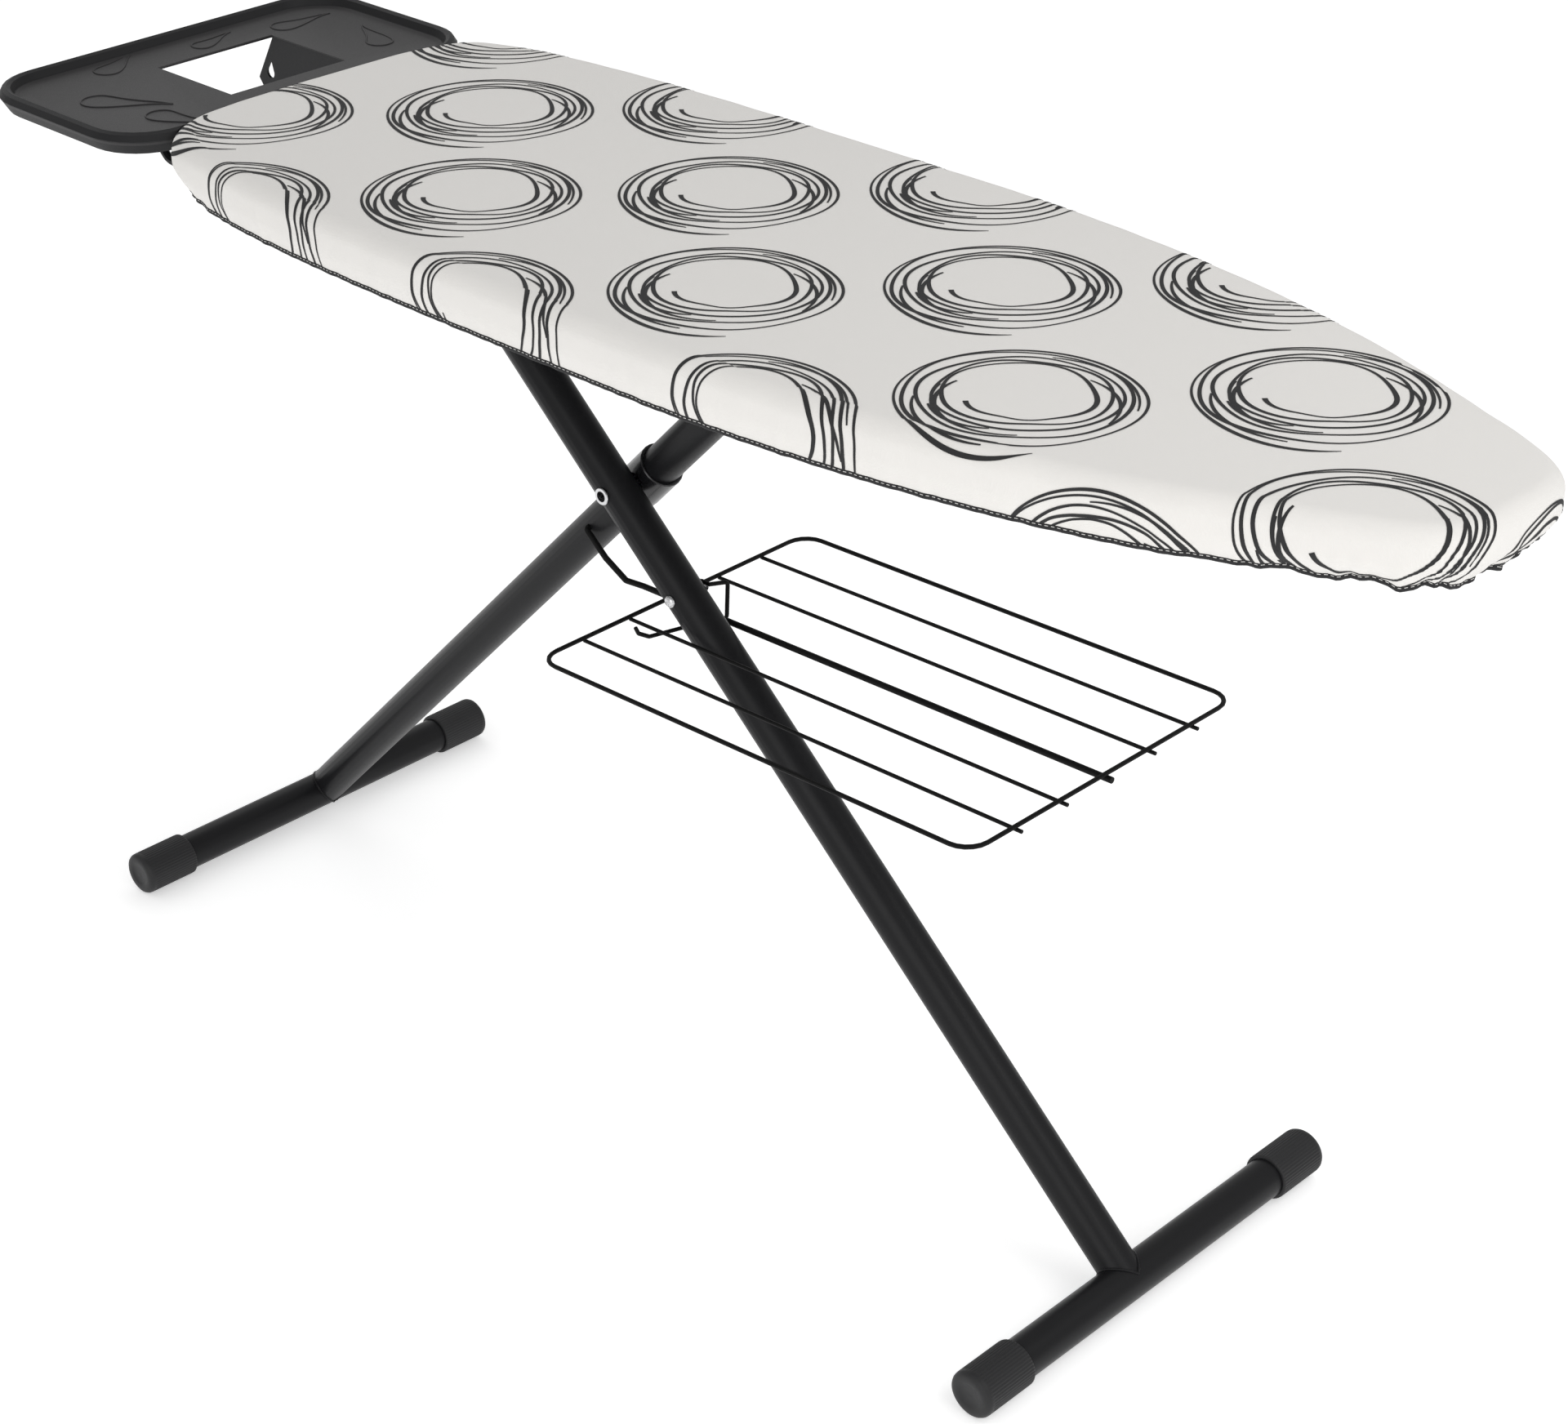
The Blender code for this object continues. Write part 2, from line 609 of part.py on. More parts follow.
def make_tray_clips(parent):
    """Straps that hold the rod to the tray's underside."""
    inner = TRAY_ROD_R + GAP
    outer = inner + 0.0016
    ceiling = TRAY_FLOOR - TRAY_FLOOR_T - GAP
    arcs = [math.pi + math.pi * k / 8 for k in range(9)]
    places = [(TRAY_REAR + x, y) for x in (0.055, 0.115) for y in (-TRAY_ROD_Y, TRAY_ROD_Y)]
    for number, (x, y) in enumerate(places, start=1):
        outline = [(y - outer, ceiling)]
        outline += [(y + outer * math.cos(t), TRAY_ROD_Z + outer * math.sin(t)) for t in arcs]
        outline += [(y + outer, ceiling), (y + inner, ceiling)]
        outline += [(y + inner * math.cos(t), TRAY_ROD_Z + inner * math.sin(t))
                    for t in reversed(arcs)]
        outline.append((y - inner, ceiling))
        prism(f"tray_clip_{number}", outline, "X", x - 0.005, x + 0.005, "black_plastic", parent)


# ---------------------------------------------------------------- legs
def make_leg(name, foot, direction, reach, bores, parent):
    """Tube from the foot to past its top pin, saddle-cut onto the foot tube."""
    inner = TUBE_R - TUBE_WALL
    top = reach + TOP_OVERHANG
    tube = lathe(name, foot, direction, [(TUBE_R, 0), (TUBE_R, top), (inner, top), (inner, 0)],
                 TUBE_SIDES, "black_paint", parent, closed=True)
    saddle = rod(name + "_saddle_cutter", foot - Y_AXIS * 0.05, foot + Y_AXIS * 0.05,
                 (TUBE_R + GAP) / math.cos(math.pi / TUBE_SIDES), TUBE_SIDES, "black_paint", parent)
    boolean(tube, saddle)
    for index, (distance, radius, y_low, y_high) in enumerate(bores):
        center = foot + direction * distance
        center.y = 0
        hole = rod(f"{name}_bore_cutter_{index}", center + Y_AXIS * (foot.y + y_low),
                   center + Y_AXIS * (foot.y + y_high), radius, 24, "black_paint", parent)
        boolean(tube, hole)


def make_foot(letter, x, parent):
    inner = TUBE_R - TUBE_WALL
    start = Vector((x, -FOOT_HALF, FOOT_Z))
    span = 2 * FOOT_HALF
    lathe(f"foot_{letter}_tube", start, Y_AXIS, [(TUBE_R, 0), (TUBE_R, span), (inner, span), (inner, 0)],
          TUBE_SIDES, "black_paint", parent, closed=True)
    corner = 1 / math.cos(math.pi / CAP_SIDES)
    bore = (TUBE_R + GAP) * corner
    outer = CAP_APOTHEM * corner
    wall = 0.0040
    profile = [(bore, CAP_LENGTH - wall), (bore, 0), (outer - 0.0004, 0), (outer, 0.0010),
               (outer, CAP_LENGTH - 0.0040), (outer - 0.0014, CAP_LENGTH - 0.0012),
               (outer - 0.0042, CAP_LENGTH)]
    cap_start = FOOT_HALF + GAP + wall - CAP_LENGTH
    for side, label in ((-1, "near"), (1, "far")):
        lathe(f"foot_cap_{letter}_{label}", Vector((x, side * cap_start, FOOT_Z)), Y_AXIS * side,
              profile, CAP_SIDES, "black_plastic", parent, phase=0.5)


def make_plug(name, foot, direction, reach, parent):
    """Plastic end plug that carries the top pin inside the tube."""
    top = reach + TOP_OVERHANG
    body = TUBE_R - TUBE_WALL - GAP * 1.5
    plug = lathe(name, foot + direction * (top - 0.032), direction,
                 [(body, 0), (body, 0.032 + GAP), (TUBE_R, 0.032 + GAP), (TUBE_R - 0.001, 0.0345)],
                 TUBE_SIDES, "black_plastic", parent)
    center = foot + direction * reach
    center.y = foot.y
    bore = (PIN_R + RUN) / math.cos(math.pi / 24)
    hole = rod(name + "_cutter", center - Y_AXIS * 0.03, center + Y_AXIS * 0.03, bore, 24,
               "black_plastic", parent)
    boolean(plug, hole)


def make_pivot(leg_a, leg_b):
    """Tubular rivet through both legs, and the sleeve on leg B that spaces them."""
    low = LEG_A_Y - TUBE_R - GAP - 0.0016
    high = LEG_B_Y + TUBE_R + GAP + 0.0016
    profile = [(RIVET_HEAD - 0.0004, low), (RIVET_HEAD, low + 0.0008), (RIVET_HEAD - 0.0004, low + 0.0016),
               (RIVET_R, low + 0.0016), (RIVET_R, high - 0.0016), (RIVET_HEAD - 0.0004, high - 0.0016),
               (RIVET_HEAD, high - 0.0008), (RIVET_HEAD - 0.0004, high), (RIVET_BORE, high),
               (RIVET_BORE, low)]
    lathe("pivot_rivet", PIVOT, Y_AXIS, profile, 24, "zinc", leg_a, closed=True)
    half = 0.0200
    inner = (TUBE_R + GAP) / math.cos(math.pi / TUBE_SIDES)
    outer = 0.0205
    center = Vector((PIVOT.x, LEG_B_Y, PIVOT.z)) - DIR_B * half
    profile = [(inner, 0), (outer - 0.0008, 0), (outer, 0.0008), (outer, 2 * half - 0.0008),
               (outer - 0.0008, 2 * half), (inner, 2 * half)]
    collar = lathe("pivot_collar", center, DIR_B, profile, TUBE_SIDES, "black_plastic", leg_b, closed=True)
    hole = rod("pivot_collar_cutter", PIVOT - Y_AXIS * 0.05, PIVOT + Y_AXIS * 0.05,
               RIVET_HEAD + 0.0010, 24, "black_plastic", leg_b)
    boolean(collar, hole)


def make_slider(parent):
    """Axle through the top of leg B, with a glide and a retaining washer at each rail."""
    center = Vector((TOP_B.x, 0, TOP_B.z))
    rod("slider_axle", center - Y_AXIS * AXLE_HALF, center + Y_AXIS * AXLE_HALF, PIN_R, 24, "zinc",
        parent)
    corner = 1 / math.cos(math.pi / 24)
    bore = (PIN_R + GAP) * corner
    for side, label in ((-1, "near"), (1, "far")):
        lathe(f"slider_glide_{label}", center, Y_AXIS * side,
              [(bore, 0.0520), (0.0065, 0.0520), (0.0065, 0.0605), (bore, 0.0605)],
              24, "black_plastic", parent, closed=True)
        lathe(f"slider_washer_{label}", center, Y_AXIS * side,
              [(bore, 0.0610), (0.0110, 0.0610), (0.0110, 0.0622), (bore, 0.0622)],
              24, "zinc", parent, closed=True)


# ---------------------------------------------------------------- shelf
SHELF_DIR = Vector((SHELF_RIGHT[0] - SHELF_LEFT[0], 0, SHELF_RIGHT[1] - SHELF_LEFT[1]))
SHELF_LENGTH = SHELF_DIR.length
SHELF_DIR.normalize()
SHELF_UP = Vector((-SHELF_DIR.z, 0, SHELF_DIR.x))


def shelf_point(along, y, up=0.0):
    origin = Vector((SHELF_LEFT[0], 0, SHELF_LEFT[1]))
    return origin + SHELF_DIR * along + Y_AXIS * y + SHELF_UP * up


def make_shelf(parent):
    corners = [shelf_point(0, -SHELF_HALF), shelf_point(SHELF_LENGTH, -SHELF_HALF),
               shelf_point(SHELF_LENGTH, SHELF_HALF), shelf_point(0, SHELF_HALF)]
    path = rounded_path(corners, SHELF_CORNER_R, 5, closed=True)
    sweep("shelf_frame", path, SHELF_EDGE_R, 8, "black_paint", parent, closed=True)
    pitch = 2 * SHELF_HALF / SHELF_GAPS
    drop = -(SHELF_EDGE_R + SHELF_WIRE_R + GAP)
    for number, step in enumerate((-2, -1, 1, 2), start=1):
        y = pitch * step
        rod(f"shelf_wire_{number}", shelf_point(-SHELF_EDGE_R, y, drop),
            shelf_point(SHELF_LENGTH + SHELF_STUB, y, drop), SHELF_WIRE_R, 8, "black_paint", parent)
    drop = -(SHELF_EDGE_R + SHELF_ROD_R + GAP)
    beside = LEG_B_Y - TUBE_R - SHELF_ROD_R - 0.0008
    bend = shelf_point(-0.060, -0.002, drop)
    hole = Vector((ROD_HOLE.x, beside, ROD_HOLE.z))
    path = [shelf_point(SHELF_LENGTH + SHELF_STUB, 0, drop), shelf_point(-0.040, 0, drop), bend,
            bend.lerp(hole, 0.45) + Y_AXIS * (beside * 0.55 + 0.0011), hole,
            Vector((ROD_HOLE.x, LEG_B_Y - 0.008, ROD_HOLE.z))]
    sweep("shelf_rod", rounded_path(path, 0.0032, 4), SHELF_ROD_R, 12, "black_paint", parent)


def make_hook(parent):
    """Dome rivet on leg A, and the wire hook that it holds under the shelf."""
    pin_r = HOOK_PIN_R
    near = -TUBE_R - GAP
    far = TUBE_R + GAP
    profile = [(0.0016, near - 0.0032), (0.0036, near - 0.0027), (0.0049, near - 0.0016),
               (DOME_R, near), (pin_r, near), (pin_r, far + 0.0046), (0.0048, far + 0.0046),
               (0.0044, far + 0.0058)]
    place = Vector((HOOK_PIN.x, LEG_A_Y, HOOK_PIN.z))
    lathe("dome_rivet", place, Y_AXIS, profile, 16, "zinc", parent)
    wire_r = HOOK_WIRE_R
    eye_r = pin_r + wire_r + 0.0005
    eye_y = LEG_A_Y + TUBE_R + GAP + wire_r + 0.0002
    eye = [(place.x + eye_r * math.cos(t), eye_y, place.z + eye_r * math.sin(t))
           for t in [math.radians(298 - 26 * k) for k in range(9)]]
    axis = Vector((HOOK_PIN.x, 0, HOOK_PIN.z))
    under = -0.0318
    route = [(0.0086, eye_y, eye_r), (0.0136, 0.0120, 0.0032), (0.0122, 0.0120, under),
             (-0.0010, -0.0200, under), (-0.0115, -0.0560, under), (-0.0145, -0.0655, -0.0263),
             (-0.0152, -0.0680, -0.0203)]
    bends = rounded_path([axis + Vector(p) for p in route], 0.0034, 4)
    path = [Vector(p) for p in eye] + bends
    sweep("shelf_hook", path, wire_r, 8, "zinc", parent, up=Y_AXIS)


# ---------------------------------------------------------------- the whole object
def build():
    clear_scene()
    board = make_empty("board_frame", (0, 0, TOP_PIN_Z))
    leg_a = make_empty("leg_a_axis", (TOP_A.x, 0, TOP_A.z), board)
    leg_b = make_empty("leg_b_axis", PIVOT, leg_a)
    shelf = make_empty("shelf_axis", (ROD_HOLE.x, 0, ROD_HOLE.z), leg_b)
    lever = make_empty("lever_axis", LEVER_PIN, board)

    make_cover(board)
    make_pad(board)
    make_hem(board)
    make_deck(board)
    make_rim(board)
    make_rail("rail_near", -1, board)
    make_rail("rail_far", 1, board)
    make_braces(board)
    make_hinge_pin(board)
    make_rack(board)
    make_lever_mount(board)
    make_lever(lever)
    make_tray(board)
    make_tray_frame(board)
    make_tray_clips(board)

    corner = 1 / math.cos(math.pi / 24)
    through = (-0.03, 0.03)
    pin_bore = (PIN_R + RUN) * corner
    pivot_a = (PIVOT_Z - FOOT_Z) / math.sin(ANGLE_A)
    pivot_b = (PIVOT_Z - FOOT_Z) / math.sin(ANGLE_B)
    make_leg("leg_a_tube", FOOT_A, DIR_A, REACH_A,
             ((REACH_A, pin_bore, *through), (pivot_a, (RIVET_R + GAP) * corner, *through),
              (HOOK_PIN_ALONG, HOOK_PIN_R + 0.0005, *through)), leg_a)
    make_leg("leg_b_tube", FOOT_B, DIR_B, REACH_B,
             ((REACH_B, pin_bore, *through), (pivot_b, (RIVET_R + RUN) * corner, *through),
              (ROD_HOLE_ALONG, (SHELF_ROD_R + RUN * 2) * corner, -0.03, 0.0)), leg_b)
    make_foot("a", FOOT_A_X, leg_a)
    make_foot("b", FOOT_B_X, leg_b)
    make_plug("leg_a_plug", FOOT_A, DIR_A, REACH_A, leg_a)
    make_plug("leg_b_plug", FOOT_B, DIR_B, REACH_B, leg_b)
    make_pivot(leg_a, leg_b)
    make_slider(leg_b)
    make_hook(leg_a)
    make_shelf(shelf)


build()
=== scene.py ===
"""Looks of the folding ironing board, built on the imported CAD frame.

Metres, +Z up; +X runs along the board to its nose and -Y is the near long side.
"""

import json
import math
import random

import bmesh
import bpy
from mathutils import Matrix, Vector
from mathutils.geometry import interpolate_bezier


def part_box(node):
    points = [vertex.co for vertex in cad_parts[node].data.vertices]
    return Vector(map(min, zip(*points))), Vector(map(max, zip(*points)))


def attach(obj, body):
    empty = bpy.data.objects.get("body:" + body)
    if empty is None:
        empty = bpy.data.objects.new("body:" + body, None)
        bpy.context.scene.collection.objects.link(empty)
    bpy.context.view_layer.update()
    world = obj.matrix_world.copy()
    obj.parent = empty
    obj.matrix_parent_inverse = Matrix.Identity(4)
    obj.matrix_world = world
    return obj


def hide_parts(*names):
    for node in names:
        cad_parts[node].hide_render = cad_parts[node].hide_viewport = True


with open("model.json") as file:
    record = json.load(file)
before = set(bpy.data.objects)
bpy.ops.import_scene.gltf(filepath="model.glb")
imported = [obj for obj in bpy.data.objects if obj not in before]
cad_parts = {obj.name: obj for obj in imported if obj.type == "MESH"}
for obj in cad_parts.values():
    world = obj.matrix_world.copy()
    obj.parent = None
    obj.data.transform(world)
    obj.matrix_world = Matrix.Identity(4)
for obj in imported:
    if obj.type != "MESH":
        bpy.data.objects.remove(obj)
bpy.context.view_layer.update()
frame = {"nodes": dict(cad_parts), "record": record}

# ---------------------------------------------------------------- dimensions of the CAD part
BOARD_REAR = -0.5135
BOARD_NOSE = 0.7268
BOARD_HALF = 0.2175
REAR_CORNER = (-0.4800, 0.1730)
SIDE_X = -0.0425
TAPER_X = 0.1275
TAPER_HALF = 0.2172
SHOULDER = (0.5775, 0.1333)
SHOULDER_SLOPE = 0.41
NOSE_HALF = 0.080
BOARD_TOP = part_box("cotton_cover")[1].z
HEM_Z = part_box("cotton_cover")[0].z
SKIRT = BOARD_TOP - HEM_Z
RIM_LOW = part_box("rim_tube")[0].z
FOOT_Z = 0.0207            # height of the foot tubes' axes, and radius of the foot caps
TUBE_R = 0.0175
PIVOT_X = -0.1025
PIVOT_Z = 0.535
TRAY_FLOOR = 0.7765

# ---------------------------------------------------------------- looks of single nodes
GLOSSY = ("pivot_collar", "slider_glide_near", "slider_glide_far")
THICKENED = ("shelf_frame", "shelf_wire_1", "shelf_wire_2", "shelf_wire_3", "shelf_wire_4")
WIRES = THICKENED + ("shelf_rod", "shelf_hook")
COAT = 0.00022             # paint on the thickened wires
WELD_DISTANCE = 0.000005   # packed vertices closer than this are one
SMOOTH_ANGLE = 33          # degrees between faces that still shade as one surface


# ---------------------------------------------------------------- camera
CAMERA_PLACE = (1.6477, -1.6503, 1.6806)
CAMERA_TURN = (45.310, 31.425, -0.645)      # yaw, pitch and roll in degrees
LENS = 72.33
LENS_SHIFT = (0.0465, 0.0613)


def make_camera():
    """Camera at the photo's angle."""
    yaw, pitch, roll = (math.radians(a) for a in CAMERA_TURN)
    forward = Vector((-math.cos(pitch) * math.sin(yaw), math.cos(pitch) * math.cos(yaw),
                      -math.sin(pitch)))
    right = Vector((math.cos(yaw), math.sin(yaw), 0))
    up = right.cross(forward)
    across = right * math.cos(roll) + up * math.sin(roll)
    above = up * math.cos(roll) - right * math.sin(roll)
    data = bpy.data.cameras.new("photo_camera")
    data.sensor_fit = "HORIZONTAL"
    data.sensor_width = 36.0
    data.lens = LENS
    data.shift_x, data.shift_y = LENS_SHIFT
    data.clip_start = 0.05
    data.clip_end = 50
    camera = bpy.data.objects.new("photo_camera", data)
    turn = Matrix((across, above, -forward)).transposed().to_4x4()
    camera.matrix_world = Matrix.Translation(CAMERA_PLACE) @ turn
    bpy.context.scene.collection.objects.link(camera)
    bpy.context.scene.camera = camera


make_camera()


# ---------------------------------------------------------------- materials
def new_material(name, color, roughness, metallic=0.0):
    """A material and its Principled shader."""
    material = bpy.data.materials.new(name)
    material.use_nodes = True
    shader = material.node_tree.nodes["Principled BSDF"]
    shader.inputs["Base Color"].default_value = (*color, 1.0)
    shader.inputs["Roughness"].default_value = roughness
    shader.inputs["Metallic"].default_value = metallic
    return material, shader


def add_noise(material, shader, scale, bump, distance, detail=3.0):
    """Fine relief in object coordinates."""
    tree = material.node_tree
    place = tree.nodes.new("ShaderNodeTexCoord")
    noise = tree.nodes.new("ShaderNodeTexNoise")
    noise.inputs["Scale"].default_value = scale
    noise.inputs["Detail"].default_value = detail
    relief = tree.nodes.new("ShaderNodeBump")
    relief.inputs["Strength"].default_value = bump
    relief.inputs["Distance"].default_value = distance
    tree.links.new(place.outputs["Object"], noise.inputs["Vector"])
    tree.links.new(noise.outputs["Fac"], relief.inputs["Height"])
    tree.links.new(relief.outputs["Normal"], shader.inputs["Normal"])
    return noise


def vary(material, shader, noise, socket, low, high):
    """Let the noise move a value between low and high."""
    tree = material.node_tree
    ramp = tree.nodes.new("ShaderNodeMapRange")
    ramp.inputs["From Min"].default_value = 0.3
    ramp.inputs["From Max"].default_value = 0.7
    ramp.inputs["To Min"].default_value = low
    ramp.inputs["To Max"].default_value = high
    tree.links.new(noise.outputs["Fac"], ramp.inputs["Value"])
    tree.links.new(ramp.outputs["Result"], shader.inputs[socket])


def make_materials():
    """The looks, by the record's material slots and by the names that make_piece takes."""
    paint, shader = new_material("paint_black", (0.010, 0.010, 0.011), 0.36)
    shader.inputs["Specular IOR Level"].default_value = 0.17
    vary(paint, shader, add_noise(paint, shader, 900, 0.25, 0.0001), "Roughness", 0.31, 0.42)
    wire, shader = new_material("paint_wire", (0.006, 0.006, 0.006), 0.55)
    shader.inputs["Specular IOR Level"].default_value = 0.10
    plastic, shader = new_material("plastic_black", (0.022, 0.022, 0.023), 0.48)
    shader.inputs["Specular IOR Level"].default_value = 0.25
    vary(plastic, shader, add_noise(plastic, shader, 1500, 0.25, 0.0001), "Roughness", 0.42, 0.56)
    gloss, _ = new_material("plastic_gloss", (0.010, 0.010, 0.011), 0.22)
    grey, shader = new_material("tray_grey", (0.026, 0.025, 0.026), 0.50)
    shader.inputs["Specular IOR Level"].default_value = 0.28
    vary(grey, shader, add_noise(grey, shader, 1800, 0.5, 0.0001), "Roughness", 0.48, 0.62)
    # painted shade: the tray's rim and sides get a darker grey than its floor
    paint_shade_off_level(grey, shader, TRAY_FLOOR, (0.009, 0.009, 0.010), (0.028, 0.027, 0.028))
    zinc, shader = new_material("zinc_bright", (0.66, 0.66, 0.67), 0.26, 1.0)
    vary(zinc, shader, add_noise(zinc, shader, 400, 0.1, 0.0001), "Roughness", 0.20, 0.34)
    steel, shader = new_material("deck_steel", (0.34, 0.35, 0.36), 0.48, 1.0)
    vary(steel, shader, add_noise(steel, shader, 60, 0.1, 0.0001), "Roughness", 0.40, 0.58)
    cotton, shader = new_material("cotton_white", (0.775, 0.757, 0.728), 0.82)
    shader.inputs["Sheen Weight"].default_value = 0.25
    shader.inputs["Sheen Roughness"].default_value = 0.5
    add_weave(cotton, shader)
    felt, shader = new_material("felt_pad", (0.60, 0.58, 0.54), 0.95)
    add_noise(felt, shader, 700, 0.9, 0.0006, 6)
    ink, shader = new_material("ink_black", (0.013, 0.013, 0.014), 0.80)
    add_weave(ink, shader)
    tape, shader = new_material("tape_black", (0.014, 0.014, 0.015), 0.85)
    add_weave(tape, shader)
    thread, _ = new_material("thread_white", (0.70, 0.69, 0.67), 0.80)
    return dict(black_paint=paint, wire=wire, black_plastic=plastic, gloss=gloss, grey_plastic=grey,
                zinc=zinc, steel_deck=steel, cotton=cotton, felt=felt, ink=ink,
                black_tape=tape, thread=thread)


LEVEL_BAND = 0.0012


def paint_shade_off_level(material, shader, height, color, unshaded_color):
    """Painted shade: the first colour everywhere, and the second for whatever lies within LEVEL_BAND
    of one height, in world coordinates.
    """
    tree = material.node_tree
    place = tree.nodes.new("ShaderNodeNewGeometry")
    split = tree.nodes.new("ShaderNodeSeparateXYZ")
    near = tree.nodes.new("ShaderNodeMath")
    near.operation = "COMPARE"
    near.inputs[1].default_value = height
    near.inputs[2].default_value = LEVEL_BAND
    mix = tree.nodes.new("ShaderNodeMix")
    mix.data_type = "RGBA"
    mix.inputs["A"].default_value = (*color, 1)
    mix.inputs["B"].default_value = (*unshaded_color, 1)
    tree.links.new(place.outputs["Position"], split.inputs["Vector"])
    tree.links.new(split.outputs["Z"], near.inputs[0])
    tree.links.new(near.outputs["Value"], mix.inputs["Factor"])
    tree.links.new(mix.outputs["Result"], shader.inputs["Base Color"])


WEAVE_SCALE = 620          # of the two crossed thread waves
LINT_SCALE = 260
LINT_SHARE = 1.6           # weight of the lint against the threads


def add_weave(material, shader):
    """Crossed threads with a fine, irregular lint over them."""
    tree = material.node_tree
    place = tree.nodes.new("ShaderNodeTexCoord")
    threads = tree.nodes.new("ShaderNodeMath")
    threads.operation = "ADD"
    for number, axis in enumerate("XY"):
        wave = tree.nodes.new("ShaderNodeTexWave")
        wave.wave_type = "BANDS"
        wave.bands_direction = axis
        wave.inputs["Scale"].default_value = WEAVE_SCALE
        wave.inputs["Distortion"].default_value = 1.2
        wave.inputs["Detail"].default_value = 1.0
        tree.links.new(place.outputs["Object"], wave.inputs["Vector"])
        tree.links.new(wave.outputs["Fac"], threads.inputs[number])
    lint = tree.nodes.new("ShaderNodeTexNoise")
    lint.inputs["Scale"].default_value = LINT_SCALE
    lint.inputs["Detail"].default_value = 6
    tree.links.new(place.outputs["Object"], lint.inputs["Vector"])
    total = tree.nodes.new("ShaderNodeMath")
    total.operation = "MULTIPLY_ADD"
    total.inputs[1].default_value = LINT_SHARE
    tree.links.new(lint.outputs["Fac"], total.inputs[0])
    tree.links.new(threads.outputs["Value"], total.inputs[2])
    relief = tree.nodes.new("ShaderNodeBump")
    relief.inputs["Strength"].default_value = 0.35
    relief.inputs["Distance"].default_value = 0.0002
    tree.links.new(total.outputs["Value"], relief.inputs["Height"])
    tree.links.new(relief.outputs["Normal"], shader.inputs["Normal"])


LOOKS = make_materials()


def make_smoother():
    """Node group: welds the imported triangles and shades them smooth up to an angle."""
    group = bpy.data.node_groups.new("smooth_by_angle", "GeometryNodeTree")
    group.interface.new_socket("Geometry", in_out="INPUT", socket_type="NodeSocketGeometry")
    group.interface.new_socket("Geometry", in_out="OUTPUT", socket_type="NodeSocketGeometry")
    source = group.nodes.new("NodeGroupInput")
    result = group.nodes.new("NodeGroupOutput")
    weld = group.nodes.new("GeometryNodeMergeByDistance")
    weld.inputs["Distance"].default_value = WELD_DISTANCE
    strip = group.nodes.new("GeometryNodeRemoveAttribute")
    strip.inputs["Name"].default_value = "custom_normal"
    faces = group.nodes.new("GeometryNodeSetShadeSmooth")
    faces.domain = "FACE"
    edges = group.nodes.new("GeometryNodeSetShadeSmooth")
    edges.domain = "EDGE"
    angle = group.nodes.new("GeometryNodeInputMeshEdgeAngle")
    soft = group.nodes.new("FunctionNodeCompare")
    soft.data_type = "FLOAT"
    soft.operation = "LESS_THAN"
    soft.inputs[1].default_value = math.radians(SMOOTH_ANGLE)
    link = group.links.new
    link(source.outputs[0], weld.inputs["Geometry"])
    link(weld.outputs["Geometry"], strip.inputs["Geometry"])
    link(strip.outputs["Geometry"], faces.inputs["Geometry"])
    link(faces.outputs["Geometry"], edges.inputs["Geometry"])
    link(angle.outputs["Unsigned Angle"], soft.inputs[0])
    link(soft.outputs["Result"], edges.inputs["Shade Smooth"])
    link(edges.outputs["Geometry"], result.inputs[0])
    return group


SMOOTHER = make_smoother()


def look_of(node, slot):
    """The node's own look if it has one, else that of its slot."""
    if node in GLOSSY:
        return LOOKS["gloss"]
    if node in WIRES:
        return LOOKS["wire"]
    return LOOKS[slot]


def dress_frame():
    """Give every CAD node its look and smooth shading, and the thin wires a coat of paint."""
    for part in frame["record"]["subparts"]:
        name = part["node"]
        item = frame["nodes"][name]
        for place in item.material_slots:
            place.material = look_of(name, part["material_slot"])
        item.modifiers.new("smooth", "NODES").node_group = SMOOTHER
        if name in THICKENED:
            coat = item.modifiers.new("coat", "DISPLACE")
            coat.mid_level = 0.0
            coat.strength = COAT


# ---------------------------------------------------------------- making pieces
def make_piece(name, verts, faces, look, body, smooth=True, sharp=None):
    """Object from vertices and faces, riding on a CAD body; sharp is an angle in degrees."""
    mesh = bpy.data.meshes.new(name)
    mesh.from_pydata([tuple(v) for v in verts], [], faces)
    mesh.validate()
    work = bmesh.new()
    work.from_mesh(mesh)
    bmesh.ops.recalc_face_normals(work, faces=work.faces)
    work.to_mesh(mesh)
    work.free()
    if smooth:
        mesh.shade_smooth()
    if sharp:
        mesh.set_sharp_from_angle(angle=math.radians(sharp))
    mesh.materials.append(LOOKS[look])
    item = bpy.data.objects.new(name, mesh)
    bpy.context.scene.collection.objects.link(item)
    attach(item, body)
    return item


def skin(rings, closed_ends=False, caps=True):
    """Vertices and faces of a surface through closed rings of points.

    closed_ends joins the last ring to the first; otherwise caps closes both ends.
    """
    count = len(rings[0])
    verts = [p for ring in rings for p in ring]
    faces = []
    last = len(rings) if closed_ends else len(rings) - 1
    for i in range(last):
        a = i * count
        b = ((i + 1) % len(rings)) * count
        for j in range(count):
            k = (j + 1) % count
            faces.append((a + j, a + k, b + k, b + j))
    if caps and not closed_ends:
        faces.append(tuple(range(count)))
        faces.append(tuple(range(len(verts) - count, len(verts))))
    return verts, faces


def add_shape(verts, faces, more_verts, more_faces):
    """Append one shape to the lists of another."""
    faces += [tuple(i + len(verts) for i in face) for face in more_faces]
    verts += more_verts


def frame_vectors(axis):
    """Two unit vectors square to an axis and to each other."""
    helper = Vector((0, 0, 1)) if abs(axis.z) < 0.95 else Vector((1, 0, 0))
    first = axis.cross(helper).normalized()
    return first, axis.cross(first).normalized()


